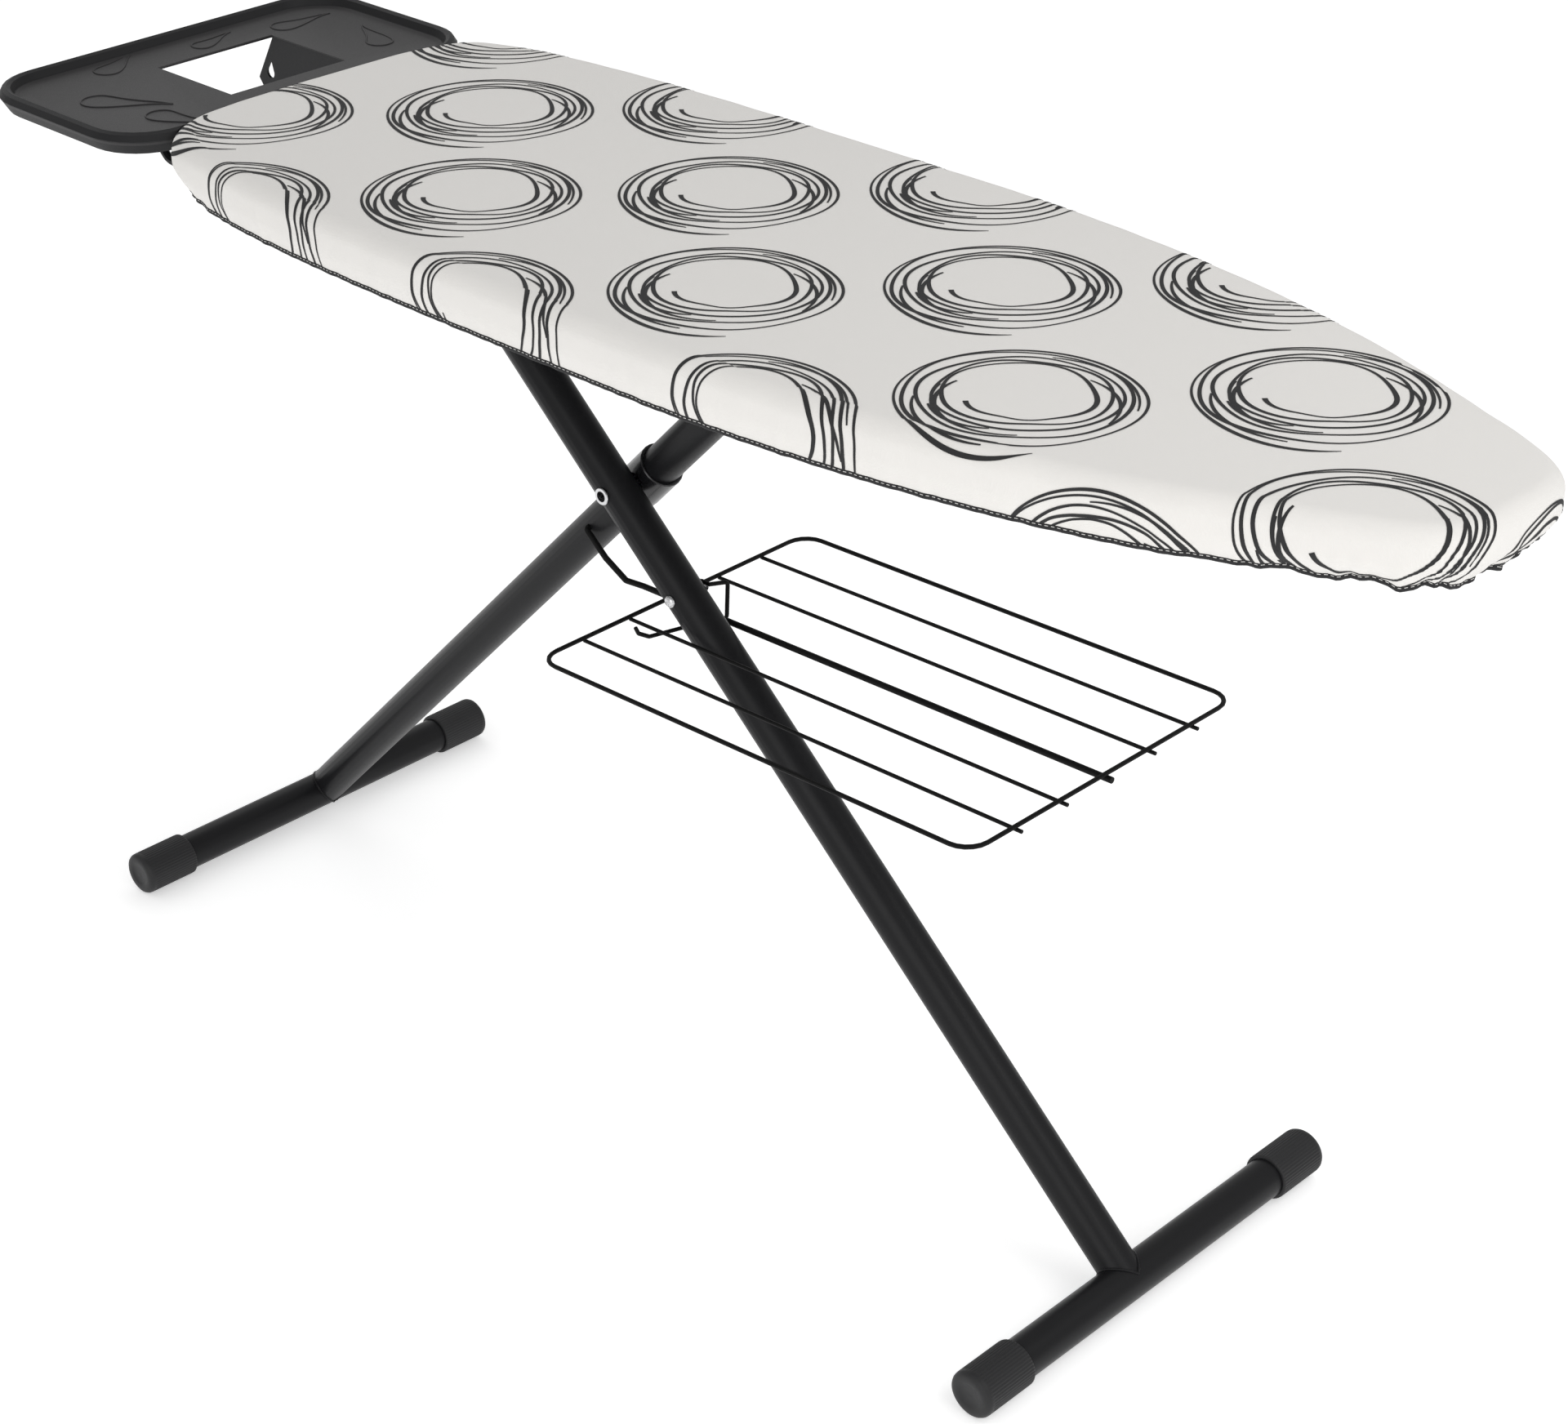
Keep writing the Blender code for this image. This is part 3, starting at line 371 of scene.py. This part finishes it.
def tube_rings(points, radius, sides):
    """Rings of a tube along a closed path; radius may be a list."""
    count = len(points)
    rings = []
    normal = None
    for i, point in enumerate(points):
        tangent = (points[(i + 1) % count] - points[i - 1]).normalized()
        if normal is None:
            normal = tangent.cross(Vector((0, 0, 1))).normalized()
        normal = (normal - tangent * normal.dot(tangent)).normalized()
        other = tangent.cross(normal)
        size = radius[i] if isinstance(radius, list) else radius
        rings.append([point + normal * (size * math.cos(t)) + other * (size * math.sin(t))
                      for t in (2 * math.pi * k / sides for k in range(sides))])
    return rings


def turned(origin, axis, profile, sides, ribs, depth):
    """Rings turned about an axis; each (radius, height, share) point takes a share of the ribs."""
    first, second = frame_vectors(axis)
    rings = []
    for radius, height, ribbed in profile:
        ring = []
        for k in range(sides):
            t = 2 * math.pi * k / sides
            size = radius - depth * ribbed * (0.5 - 0.5 * math.cos(ribs * t))
            ring.append(origin + axis * height
                        + first * (size * math.cos(t)) + second * (size * math.sin(t)))
        rings.append(ring)
    return rings


# ---------------------------------------------------------------- the board's outline
def bezier(start, start_handle, end_handle, end, steps):
    """Points of one curve, without its end."""
    corners = [Vector((*p, 0)) for p in (start, start_handle, end_handle, end)]
    return [(p.x, p.y) for p in interpolate_bezier(*corners, steps + 1)][:-1]


def dense_half():
    """Rear centre to nose centre along the +Y side, close-set."""
    corner_x, corner_y = REAR_CORNER
    x, y = SHOULDER
    slope = SHOULDER_SLOPE
    points = bezier((BOARD_REAR, 0), (BOARD_REAR, 0.100), (corner_x - 0.032, corner_y - 0.0245),
                    REAR_CORNER, 40)
    points += bezier(REAR_CORNER, (corner_x + 0.050, corner_y + 0.034),
                     (SIDE_X - 0.24, BOARD_HALF), (SIDE_X, BOARD_HALF), 60)
    points += bezier((SIDE_X, BOARD_HALF), (SIDE_X + 0.06, BOARD_HALF),
                     (TAPER_X - 0.06, BOARD_HALF), (TAPER_X, TAPER_HALF), 20)
    points += bezier((TAPER_X, TAPER_HALF), (TAPER_X + 0.13, TAPER_HALF - 0.0026),
                     (x - 0.15, y + 0.15 * slope), SHOULDER, 60)
    points += bezier(SHOULDER, (x + 0.14, y - 0.14 * slope), (BOARD_NOSE, NOSE_HALF),
                     (BOARD_NOSE, 0), 60)
    return points + [(BOARD_NOSE, 0.0)]


def even_outline(count):
    """The outline at equal steps of arc length, anticlockwise from the rear centre."""
    upper = dense_half()
    full = [Vector(p) for p in [(x, -y) for x, y in upper] + upper[-2:0:-1]]
    full.append(full[0])
    lengths = [0.0]
    for a, b in zip(full, full[1:]):
        lengths.append(lengths[-1] + (b - a).length)
    result = []
    index = 0
    for k in range(count):
        target = lengths[-1] * k / count
        while lengths[index + 1] < target:
            index += 1
        part = (target - lengths[index]) / (lengths[index + 1] - lengths[index])
        result.append(full[index].lerp(full[index + 1], part))
    return result, lengths[-1]


EDGE_COUNT = 960
EDGE, PERIMETER = even_outline(EDGE_COUNT)


def outward_normals():
    """Unit vectors that point away from the board, one at each outline step."""
    normals = []
    for i in range(EDGE_COUNT):
        step = EDGE[(i + 2) % EDGE_COUNT] - EDGE[i - 2]
        normals.append(Vector((step.y, -step.x)).normalized())
    return normals


NORMALS = outward_normals()
CURL_REACH = 12            # steps to each side over which the outline's turn is measured
CURL_FULL = 0.30           # turn, in radians, that counts as a full curl
CURL_BLUR = 14             # steps to each side over which the curl is averaged


def curl_of_outline():
    """How strongly the outline turns at each step, from 0 to 1, averaged."""
    curls = []
    for k in range(EDGE_COUNT):
        turn = NORMALS[(k + CURL_REACH) % EDGE_COUNT].angle(NORMALS[k - CURL_REACH])
        curls.append(min(1.0, turn / CURL_FULL))
    span = range(-CURL_BLUR, CURL_BLUR + 1)
    return [sum(curls[(k + j) % EDGE_COUNT] for j in span) / len(span) for k in range(EDGE_COUNT)]


CURL = curl_of_outline()

# ---------------------------------------------------------------- shape of the cover
PUCKER_COUNTS = (71, 97, 131, 173, 223)     # gathers round the whole hem, one wave each
random.seed(11)
WAVES = [(random.uniform(0.7, 1.3), random.uniform(0, 6.28), n) for n in PUCKER_COUNTS]
EDGE_R = 0.0140            # rounding of the padded top edge
EDGE_ARC = EDGE_R * math.pi / 2
CLOTH_INSET = 0.0012       # how far the cloth stays inside the CAD cover's outline
CLOTH_DROP = 0.0006        # and under its top
CROWN = 0.0004             # height of the top's soft unevenness
TOP_Z = BOARD_TOP - CLOTH_DROP - CROWN
SIDE_START = 0.006         # drop at which the side begins to lean in
FOLD_START = 0.016         # drop at which the gathers begin
NOSE_X = (0.52, 0.67)      # the gathered nose sets in between these
TAIL_X = (-0.40, -0.47)    # and the rounded rear between these


def pucker(s):
    """Gathers along the hem, at a fraction s of the way round."""
    return sum(a * math.sin(2 * math.pi * n * s + p) for a, p, n in WAVES) / 4.0


def ramp(start, end, value):
    """0 at start and before it, 1 at end and past it."""
    return max(0.0, min(1.0, (value - start) / (end - start)))


def smooth(start, end, value):
    """A ramp with soft ends."""
    t = ramp(start, end, value)
    return t * t * (3 - 2 * t)


def crown_at(x, y):
    """Soft unevenness of the padded top."""
    return CROWN * math.sin(9 * x + 3) * math.sin(11 * y + 1)


def on_cover(k, down, lift=0.0):
    """Point on the cover at outline step k (a real number), down metres below the edge line.

    down < 0 is on the top, measured inwards from the edge.
    """
    i = int(math.floor(k)) % EDGE_COUNT
    j = (i + 1) % EDGE_COUNT
    t = k - math.floor(k)
    edge = EDGE[i].lerp(EDGE[j], t)
    normal = NORMALS[i].lerp(NORMALS[j], t).normalized()
    bend = CURL[i] * (1 - t) + CURL[j] * t
    s = k / EDGE_COUNT
    reach = down + EDGE_R
    if reach <= 0:
        inwards = EDGE_R - reach
        drop = 0.0
        slope = 0.0
    elif reach < EDGE_ARC:
        slope = reach / EDGE_R
        inwards = EDGE_R * (1 - math.sin(slope))
        drop = EDGE_R * (1 - math.cos(slope))
    else:
        slope = math.pi / 2
        inwards = 0.0
        drop = EDGE_R + reach - EDGE_ARC
    part = ramp(SIDE_START, SKIRT, drop)
    tuck = ramp(BOARD_TOP - RIM_LOW, SKIRT, drop)
    fold = ramp(FOLD_START, SKIRT, drop)
    nose = smooth(*NOSE_X, edge.x)
    tail = smooth(*TAIL_X, edge.x)
    wave = pucker(s) * (0.0006 * fold + (0.0008 * bend + 0.0024 * nose) * fold ** 2)
    pull = 0.0026 * part ** 1.6 + (0.0030 + 0.0085 * nose + 0.0030 * tail) * tuck ** 1.4
    bulge = (0.0030 * tail + 0.0010) * math.sin(math.pi * part)
    inwards += CLOTH_INSET + pull + wave - bulge + 0.0005 * pucker(s * 0.31) * (1 - part)
    place = edge - normal * inwards
    sag = 0.0020 * nose * tuck * math.sin(57 * 2 * math.pi * s + 1)
    z = BOARD_TOP - CLOTH_DROP - drop + (crown_at(edge.x, edge.y) - CROWN) * (1 - part) + sag
    return Vector((place.x + normal.x * math.sin(slope) * lift,
                   place.y + normal.y * math.sin(slope) * lift, z + math.cos(slope) * lift))


def spread(x, y):
    """Outline step and distance beyond the edge for a point of the flat, unrolled cloth."""
    point = Vector((x, y))

    def gap(k):
        return (EDGE[k % EDGE_COUNT] - point).length_squared

    coarse = min(range(0, EDGE_COUNT, 6), key=gap)
    k = min(range(coarse - 7, coarse + 8), key=gap) % EDGE_COUNT
    ahead = EDGE[(k + 1) % EDGE_COUNT] - EDGE[k]
    part = max(-1.0, min(1.0, (point - EDGE[k]).dot(ahead) / ahead.length_squared))
    foot = EDGE[k] + ahead * part
    return k + part, (point - foot).dot(NORMALS[k])


def cloth_point(x, y, lift):
    """Where a point of the flat cloth lies on the finished cover."""
    k, beyond = spread(x, y)
    if beyond < -EDGE_R * 1.2:
        return Vector((x, y, TOP_Z + crown_at(x, y) + lift))
    return on_cover(k, beyond, lift)


ARC_STEPS = 10
HANG_STEPS = 16
TOP_SCALES = (0.10, 0.25, 0.40, 0.55, 0.70, 0.82, 0.91, 0.96)
SPINE_X = (-0.30, 0.52)    # the top's rings shrink towards this stretch of the board's centre line


def make_cover():
    """Top, rounded edge and gathered skirt, as one thin sheet."""
    downs = [EDGE_ARC * k / ARC_STEPS - EDGE_R for k in range(-1, ARC_STEPS + 1)]
    hang = SKIRT - EDGE_R
    downs += [EDGE_ARC - EDGE_R + hang * k / HANG_STEPS for k in range(1, HANG_STEPS + 1)]
    rings = []
    for scale in TOP_SCALES:
        ring = []
        for k in range(EDGE_COUNT):
            border = on_cover(k, downs[0])
            spine = max(SPINE_X[0], min(SPINE_X[1], border.x))
            x = spine + (border.x - spine) * scale
            y = border.y * scale
            ring.append(Vector((x, y, TOP_Z + crown_at(x, y))))
        rings.append(ring)
    rings += [[on_cover(k, down) for k in range(EDGE_COUNT)] for down in downs]
    verts, faces = skin(rings, caps=False)
    faces.append(tuple(range(EDGE_COUNT)))
    return make_piece("fabric_cover", verts, faces, "cotton", "board")


# ---------------------------------------------------------------- printed rings
def ribbon(path, widths, lift):
    """Strip of the given widths along a path on the flat cloth."""
    verts = []
    faces = []
    for i, point in enumerate(path):
        before = path[max(0, i - 1)]
        after = path[min(len(path) - 1, i + 1)]
        along = (after - before).normalized()
        side = Vector((-along.y, along.x)) * widths[i] / 2
        for p in (point + side, point - side):
            verts.append(cloth_point(p.x, p.y, lift))
        if i:
            a = 2 * i
            faces.append((a - 2, a - 1, a + 1, a))
    return verts, faces


RING_R = 0.0865
PEN = 0.0021               # usual width of a pen stroke
RING_SEED = 5
QUARTER_STEPS = 44
DAB_STEPS = 24
# Reach of the scribble at the near, rear, far and nose side of each turn, as parts of RING_R.
TURNS = ((1.00, 1.00, 1.00, 1.00), (0.84, 0.94, 0.97, 0.90), (0.71, 0.82, 0.86, 0.82),
         (0.57, 0.68, 0.79, 0.74), (0.46, 0.61, 0.75, 0.60), (0.37, 0.43, 0.43, 0.43))
# Short extra strokes: start and end angle in turns, start and end reach, width as a part of PEN.
DABS = ((0.27, 0.07, 0.85, 0.90, 1.5), (0.33, 0.02, 0.70, 0.66, 1.3), (0.24, 0.08, 0.74, 0.60, 1.5),
        (0.36, 0.12, 0.62, 0.70, 1.6), (0.85, 0.66, 0.80, 0.70, 1.4), (0.79, 0.56, 0.93, 0.90, 1.2))


def pen_point(angle, reach):
    """Point of a ring, the angle counted in turns clockwise from its near corner."""
    turn = -math.pi / 4 - 2 * math.pi * angle
    return Vector((math.cos(turn), math.sin(turn))) * (RING_R * reach)


def spline(values, place):
    """Smooth curve through evenly spaced values, at a real-number place."""
    n = min(int(place), len(values) - 2)
    t = place - n
    before, here, there, after = (values[max(0, min(len(values) - 1, n + j))] for j in (-1, 0, 1, 2))
    return here + 0.5 * t * (there - before + t * (
        2 * before - 5 * here + 4 * there - after + t * (3 * (here - there) + after - before)))


def spiral_width(part, level):
    """Pen width after part quarter turns: wide at the near rear corner, then at both ends."""
    corner = math.cos(2 * math.pi * (part / 4 - 0.13))
    ends = abs(math.cos(2 * math.pi * (part / 4 - 0.27)))
    swell = 1 + 0.75 * (1 - level) * max(0.0, corner) ** 6 + 0.75 * level * ends ** 5
    return PEN * (swell + 0.22 * math.sin(2.7 * part + 1))


def ring_strokes():
    """One pen scribble: a spiral of five turns and a few short strokes, with widths."""
    draw = random.Random(RING_SEED)
    ripple = [(draw.uniform(0.002, 0.006), draw.uniform(1.3, 9.0), draw.uniform(0, 6.28))
              for _ in range(7)]
    reaches = [reach for turn in TURNS for reach in turn][:4 * (len(TURNS) - 1) + 2]
    quarters = len(reaches) - 1
    path = []
    widths = []
    for i in range(QUARTER_STEPS * quarters + 1):
        part = i / QUARTER_STEPS
        reach = spline(reaches, part) + sum(a * math.sin(m * part + p) for a, m, p in ripple)
        path.append(pen_point(part / 4, reach))
        widths.append(spiral_width(part, part / quarters) * min(1.0, 0.3 + 0.1 * i))
    strokes = [(path, widths)]
    for start, end, first, last, wide in DABS:
        path = []
        widths = []
        for i in range(DAB_STEPS + 1):
            part = i / DAB_STEPS
            bow = 0.03 * math.sin(math.pi * part)
            path.append(pen_point(start + (end - start) * part,
                                  first + (last - first) * part + bow))
            widths.append(PEN * wide * (0.25 + 0.75 * math.sin(math.pi * (0.12 + 0.80 * part))))
        strokes.append((path, widths))
    return strokes


PITCH_X = 0.2847           # between the rings of a row
ROW_Y = 0.0426             # centre line of row 0
ROW_STEP = 0.1439          # between rows
ROW_X = -0.3210            # a ring's centre in the even rows
ROW_SHIFT = 0.1393         # how far the odd rows are moved along
PRINT_REACH = 0.13         # ring centres may lie this far beyond the board
PRINT_MARGIN = 0.0045      # clear strip above the hem
PRINT_LIFT = 0.00032       # height of a ring's first stroke over the cloth
STROKE_LIFT = 0.00001      # and of each further stroke over the one before


def ring_centers():
    """Centres of the staggered grid that lie on the board or not far beyond it."""
    for row in range(-3, 4):
        for column in range(-3, 6):
            center = Vector((ROW_X + PITCH_X * column + (ROW_SHIFT if row % 2 else 0),
                             ROW_Y - ROW_STEP * row))
            beyond = max(abs(center.y) - BOARD_HALF, center.x - BOARD_NOSE, BOARD_REAR - center.x)
            if beyond <= PRINT_REACH:
                yield center


def inside_cloth(point):
    """Whether a point of the flat cloth lies inside the clear strip along the hem."""
    return spread(point.x, point.y)[1] < SKIRT - PRINT_MARGIN


def runs_on_cloth(center, path, widths):
    """The stretches of a stroke that lie on the cloth, each with its widths."""
    part = []
    size = []
    for point, wide in zip(path, widths):
        if inside_cloth(center + point):
            part.append(center + point)
            size.append(wide)
            continue
        yield part, size
        part = []
        size = []
    yield part, size


def make_print():
    """The same scribbled ring on a staggered grid, laid over top and skirt."""
    verts = []
    faces = []
    strokes = ring_strokes()
    for center in ring_centers():
        for level, (path, widths) in enumerate(strokes):
            for part, size in runs_on_cloth(center, path, widths):
                if len(part) > 2:
                    add_shape(verts, faces, *ribbon(part, size, PRINT_LIFT + STROKE_LIFT * level))
    return make_piece("cover_print", verts, faces, "ink", "board")


# ---------------------------------------------------------------- hem tape and its stitches
HEM_SECTION = ((0.0003, -0.0014), (0.0009, -0.0004), (0.0009, 0.0022), (0.0000, 0.0034),
               (-0.0009, 0.0022), (-0.0009, -0.0004), (-0.0004, -0.0014))   # out and down
STITCH_PITCH = 0.0045
STITCH_HALF = 0.0012       # half a stitch's length
STITCH_WIDTH = 0.00044
STITCH_DROP = 0.0001       # below the cloth's edge
STITCH_OUT = 0.00115       # beyond it, clear of the tape


def hem_place(k, drop, out):
    """Point down and out from the cloth's edge at outline step k."""
    base = on_cover(k, SKIRT - 2 * EDGE_R + EDGE_ARC)
    normal = NORMALS[int(k) % EDGE_COUNT]
    return Vector((base.x + normal.x * out, base.y + normal.y * out, base.z - drop))


def make_binding():
    """Folded tape round the hem."""
    rings = [[hem_place(k, drop, out) for out, drop in HEM_SECTION] for k in range(EDGE_COUNT)]
    verts, faces = skin(rings, closed_ends=True)
    return make_piece("hem_tape", verts, faces, "black_tape", "board")


def make_stitches():
    """A row of short pale stitches along the tape."""
    verts = []
    faces = []
    count = int(PERIMETER / STITCH_PITCH)
    half = EDGE_COUNT * STITCH_HALF / PERIMETER
    rise = Vector((0, 0, STITCH_WIDTH / 2))
    for n in range(count):
        k = EDGE_COUNT * n / count
        a = hem_place(k - half, STITCH_DROP, STITCH_OUT)
        b = hem_place(k + half, STITCH_DROP, STITCH_OUT)
        add_shape(verts, faces, [a + rise, a - rise, b + rise, b - rise], [(0, 1, 3, 2)])
    return make_piece("hem_stitches", verts, faces, "thread", "board", smooth=False)


# ---------------------------------------------------------------- pad
PAD_MIDDLE = 0.08          # inset of the innermost ring
PAD_FOOT = ((PAD_MIDDLE, 0), (0.0065, 0), (0.0056, 0.0004), (0.0055, 0.0012))   # inset, height
PAD_HEAD = ((0.0075, 0.0042), (0.0100, 0.0028), (0.014, 0.0017), (0.019, 0.0013),
            (PAD_MIDDLE, 0.0013))                                               # inset, depth


def make_pad():
    """Soft pad with rounded edges, between the deck and the cover."""
    low, high = (corner.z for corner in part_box("foam_pad"))
    section = [(inset, low + rise) for inset, rise in PAD_FOOT]
    section += [(inset, high - depth) for inset, depth in PAD_HEAD]
    rings = [[Vector((*(EDGE[k] - NORMALS[k] * inset), z)) for k in range(0, EDGE_COUNT, 4)]
             for inset, z in section]
    verts, faces = skin(rings)
    return make_piece("soft_pad", verts, faces, "felt", "board")


dress_frame()
cover = make_cover()
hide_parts("cotton_cover")
printed = make_print()
tape = make_binding()
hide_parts("hem_binding")
stitches = make_stitches()
pad = make_pad()
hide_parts("foam_pad")


# ---------------------------------------------------------------- foot caps
CAP_SIDES = 240
CAP_RIBS = 48
RIB_DEPTH = 0.0006
CAP_R = FOOT_Z


def cap_profile(length):
    """Radius, distance from the mouth and share of the ribs, from the mouth to the end's middle."""
    return [(TUBE_R + 0.0002, 0.0, 0), (CAP_R - 0.0008, 0.0, 0), (CAP_R - 0.0002, 0.0005, 0.4),
            (CAP_R, 0.0020, 1), (CAP_R, length - 0.0075, 1), (CAP_R, length - 0.0060, 0),
            (CAP_R - 0.0003, length - 0.0034, 0), (CAP_R - 0.0013, length - 0.0016, 0),
            (CAP_R - 0.0030, length - 0.0005, 0), (CAP_R - 0.0050, length, 0),
            (0.0105, length, 0), (0.0100, length - 0.0004, 0), (0.002, length - 0.0004, 0)]


def make_cap(letter, label, side):
    """Ribbed cap at one end of a leg's foot tube; side is -1 near and 1 far."""
    node = f"foot_cap_{letter}_{label}"
    low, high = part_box(node)
    mouth = Vector(((low.x + high.x) / 2, high.y if side < 0 else low.y, FOOT_Z))
    rings = turned(mouth, Vector((0, side, 0)), cap_profile(high.y - low.y), CAP_SIDES,
                   CAP_RIBS, RIB_DEPTH)
    verts, faces = skin(rings, caps=False)
    faces.append(tuple(range(len(verts) - CAP_SIDES, len(verts))))
    item = make_piece(f"ribbed_cap_{letter}_{label}", verts, faces, "black_plastic",
                      "leg_" + letter, sharp=50)
    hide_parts(node)


for leg_letter in "ab":
    make_cap(leg_letter, "near", -1)
    make_cap(leg_letter, "far", 1)


# ---------------------------------------------------------------- tray details
# Each drop: distance from the tray's rear edge, place across it from 0 to 1, turn, size.
DROPS = ((0.036, 0.30, 1.9, 1.0), (0.040, 0.56, 1.7, 0.8), (0.050, 0.78, 1.4, 1.0),
         (0.100, 0.16, 0.5, 1.25), (0.150, 0.86, 2.6, 1.0), (0.170, 0.20, 0.2, 1.1))
DROP_R = 0.0125
DROP_TAIL = 0.040
DROP_BEND = 0.010
DROP_STEPS = 64
DROP_LINE_R = 0.0008
DROP_LIFT = 0.0002


def drop_outline(center, turn, size):
    """Round body with one tail that bends to the side."""
    path = []
    for k in range(DROP_STEPS):
        t = 2 * math.pi * k / DROP_STEPS
        reach = math.cos(t / 2) ** 10
        along = size * (DROP_R * math.cos(t) + DROP_TAIL * reach)
        beside = size * DROP_R * math.sin(t) * (1 - 0.86 * reach)
        beside += size * DROP_BEND * reach * math.sin(2.2 * reach)
        path.append(center + Vector((along * math.cos(turn) - beside * math.sin(turn),
                                     along * math.sin(turn) + beside * math.cos(turn), 0)))
    return path


def make_tray_drops():
    """Raised outlines of water drops on the iron rest's floor."""
    low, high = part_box("iron_rest_tray")
    verts = []
    faces = []
    for inwards, part, turn, size in DROPS:
        center = Vector((low.x + inwards, low.y + (high.y - low.y) * part, TRAY_FLOOR + DROP_LIFT))
        rings = tube_rings(drop_outline(center, turn, size), DROP_LINE_R, 6)
        add_shape(verts, faces, *skin(rings, closed_ends=True))
    make_piece("tray_drops", verts, faces, "grey_plastic", "board")


make_tray_drops()


# ---------------------------------------------------------------- weld beads
BEAD_STEPS = 72
BEAD_LIFT = 0.0006         # how far up the leg the bead sits


def make_weld(letter):
    """Bead where a leg tube meets its foot tube."""
    foot_low, foot_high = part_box(f"foot_{letter}_tube")
    leg_low, leg_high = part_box(f"leg_{letter}_tube")
    joint = Vector(((foot_low.x + foot_high.x) / 2, (leg_low.y + leg_high.y) / 2, FOOT_Z))
    lean = math.atan2(PIVOT_Z - FOOT_Z, joint.x - PIVOT_X)
    axis = Vector((-math.cos(lean), 0, math.sin(lean)))
    across = Vector((0, 1, 0))
    other = axis.cross(across)
    path = []
    for k in range(BEAD_STEPS):
        t = 2 * math.pi * k / BEAD_STEPS
        along = abs(TUBE_R * math.cos(t)) + BEAD_LIFT
        path.append(joint + across * (TUBE_R * math.cos(t)) + other * (TUBE_R * math.sin(t))
                    + axis * along)
    bead = [0.0012 + 0.0003 * math.sin(9 * k) for k in range(BEAD_STEPS)]
    verts, faces = skin(tube_rings(path, bead, 8), closed_ends=True)
    make_piece("weld_" + letter, verts, faces, "black_paint", "leg_" + letter)


make_weld("a")
make_weld("b")


# ---------------------------------------------------------------- floor and light
FLOOR_HALF = 12.0
FLOOR_GLOW = 0.42          # keeps the floor white round the object
SKY = 0.60                 # strength of the white surroundings
LIGHT_TARGET = Vector((0, 0, 0.5))
# Name, place, size and power of each soft light.
LIGHTS = (("key", (1.3, -2.8, 1.5), 2.2, 24), ("nose", (3.0, -0.4, 1.9), 1.6, 8),
          ("top", (1.5, 0.3, 2.0), 1.2, 9), ("rear", (-2.6, 1.0, 2.2), 2.0, 8))


def make_floor():
    """White floor, a little under the feet."""
    mesh = bpy.data.meshes.new("floor")
    corners = [(x * FLOOR_HALF, y * FLOOR_HALF, 0) for x, y in ((-1, -1), (1, -1), (1, 1), (-1, 1))]
    mesh.from_pydata(corners, [], [(0, 1, 2, 3)])
    material, shader = new_material("floor_white", (0.93, 0.93, 0.93), 0.9)
    shader.inputs["Emission Color"].default_value = (1, 1, 1, 1)
    shader.inputs["Emission Strength"].default_value = FLOOR_GLOW
    mesh.materials.append(material)
    floor = bpy.data.objects.new("floor", mesh)
    floor.location.z = -0.0005
    bpy.context.scene.collection.objects.link(floor)


def make_light(name, place, size, power):
    """Square light that faces the board."""
    data = bpy.data.lights.new(name, "AREA")
    data.size = size
    data.energy = power
    light = bpy.data.objects.new(name, data)
    light.location = place
    light.rotation_euler = (LIGHT_TARGET - Vector(place)).to_track_quat("-Z", "Y").to_euler()
    bpy.context.scene.collection.objects.link(light)


def make_stage():
    """Pale plain floor, even white surroundings and soft lights."""
    make_floor()
    world = bpy.data.worlds.new("studio")
    world.use_nodes = True
    background = world.node_tree.nodes["Background"]
    background.inputs["Color"].default_value = (1, 1, 1, 1)
    background.inputs["Strength"].default_value = SKY
    bpy.context.scene.world = world
    bpy.context.scene.view_settings.view_transform = "Standard"
    for light in LIGHTS:
        make_light(*light)


make_stage()
bpy.context.view_layer.update()
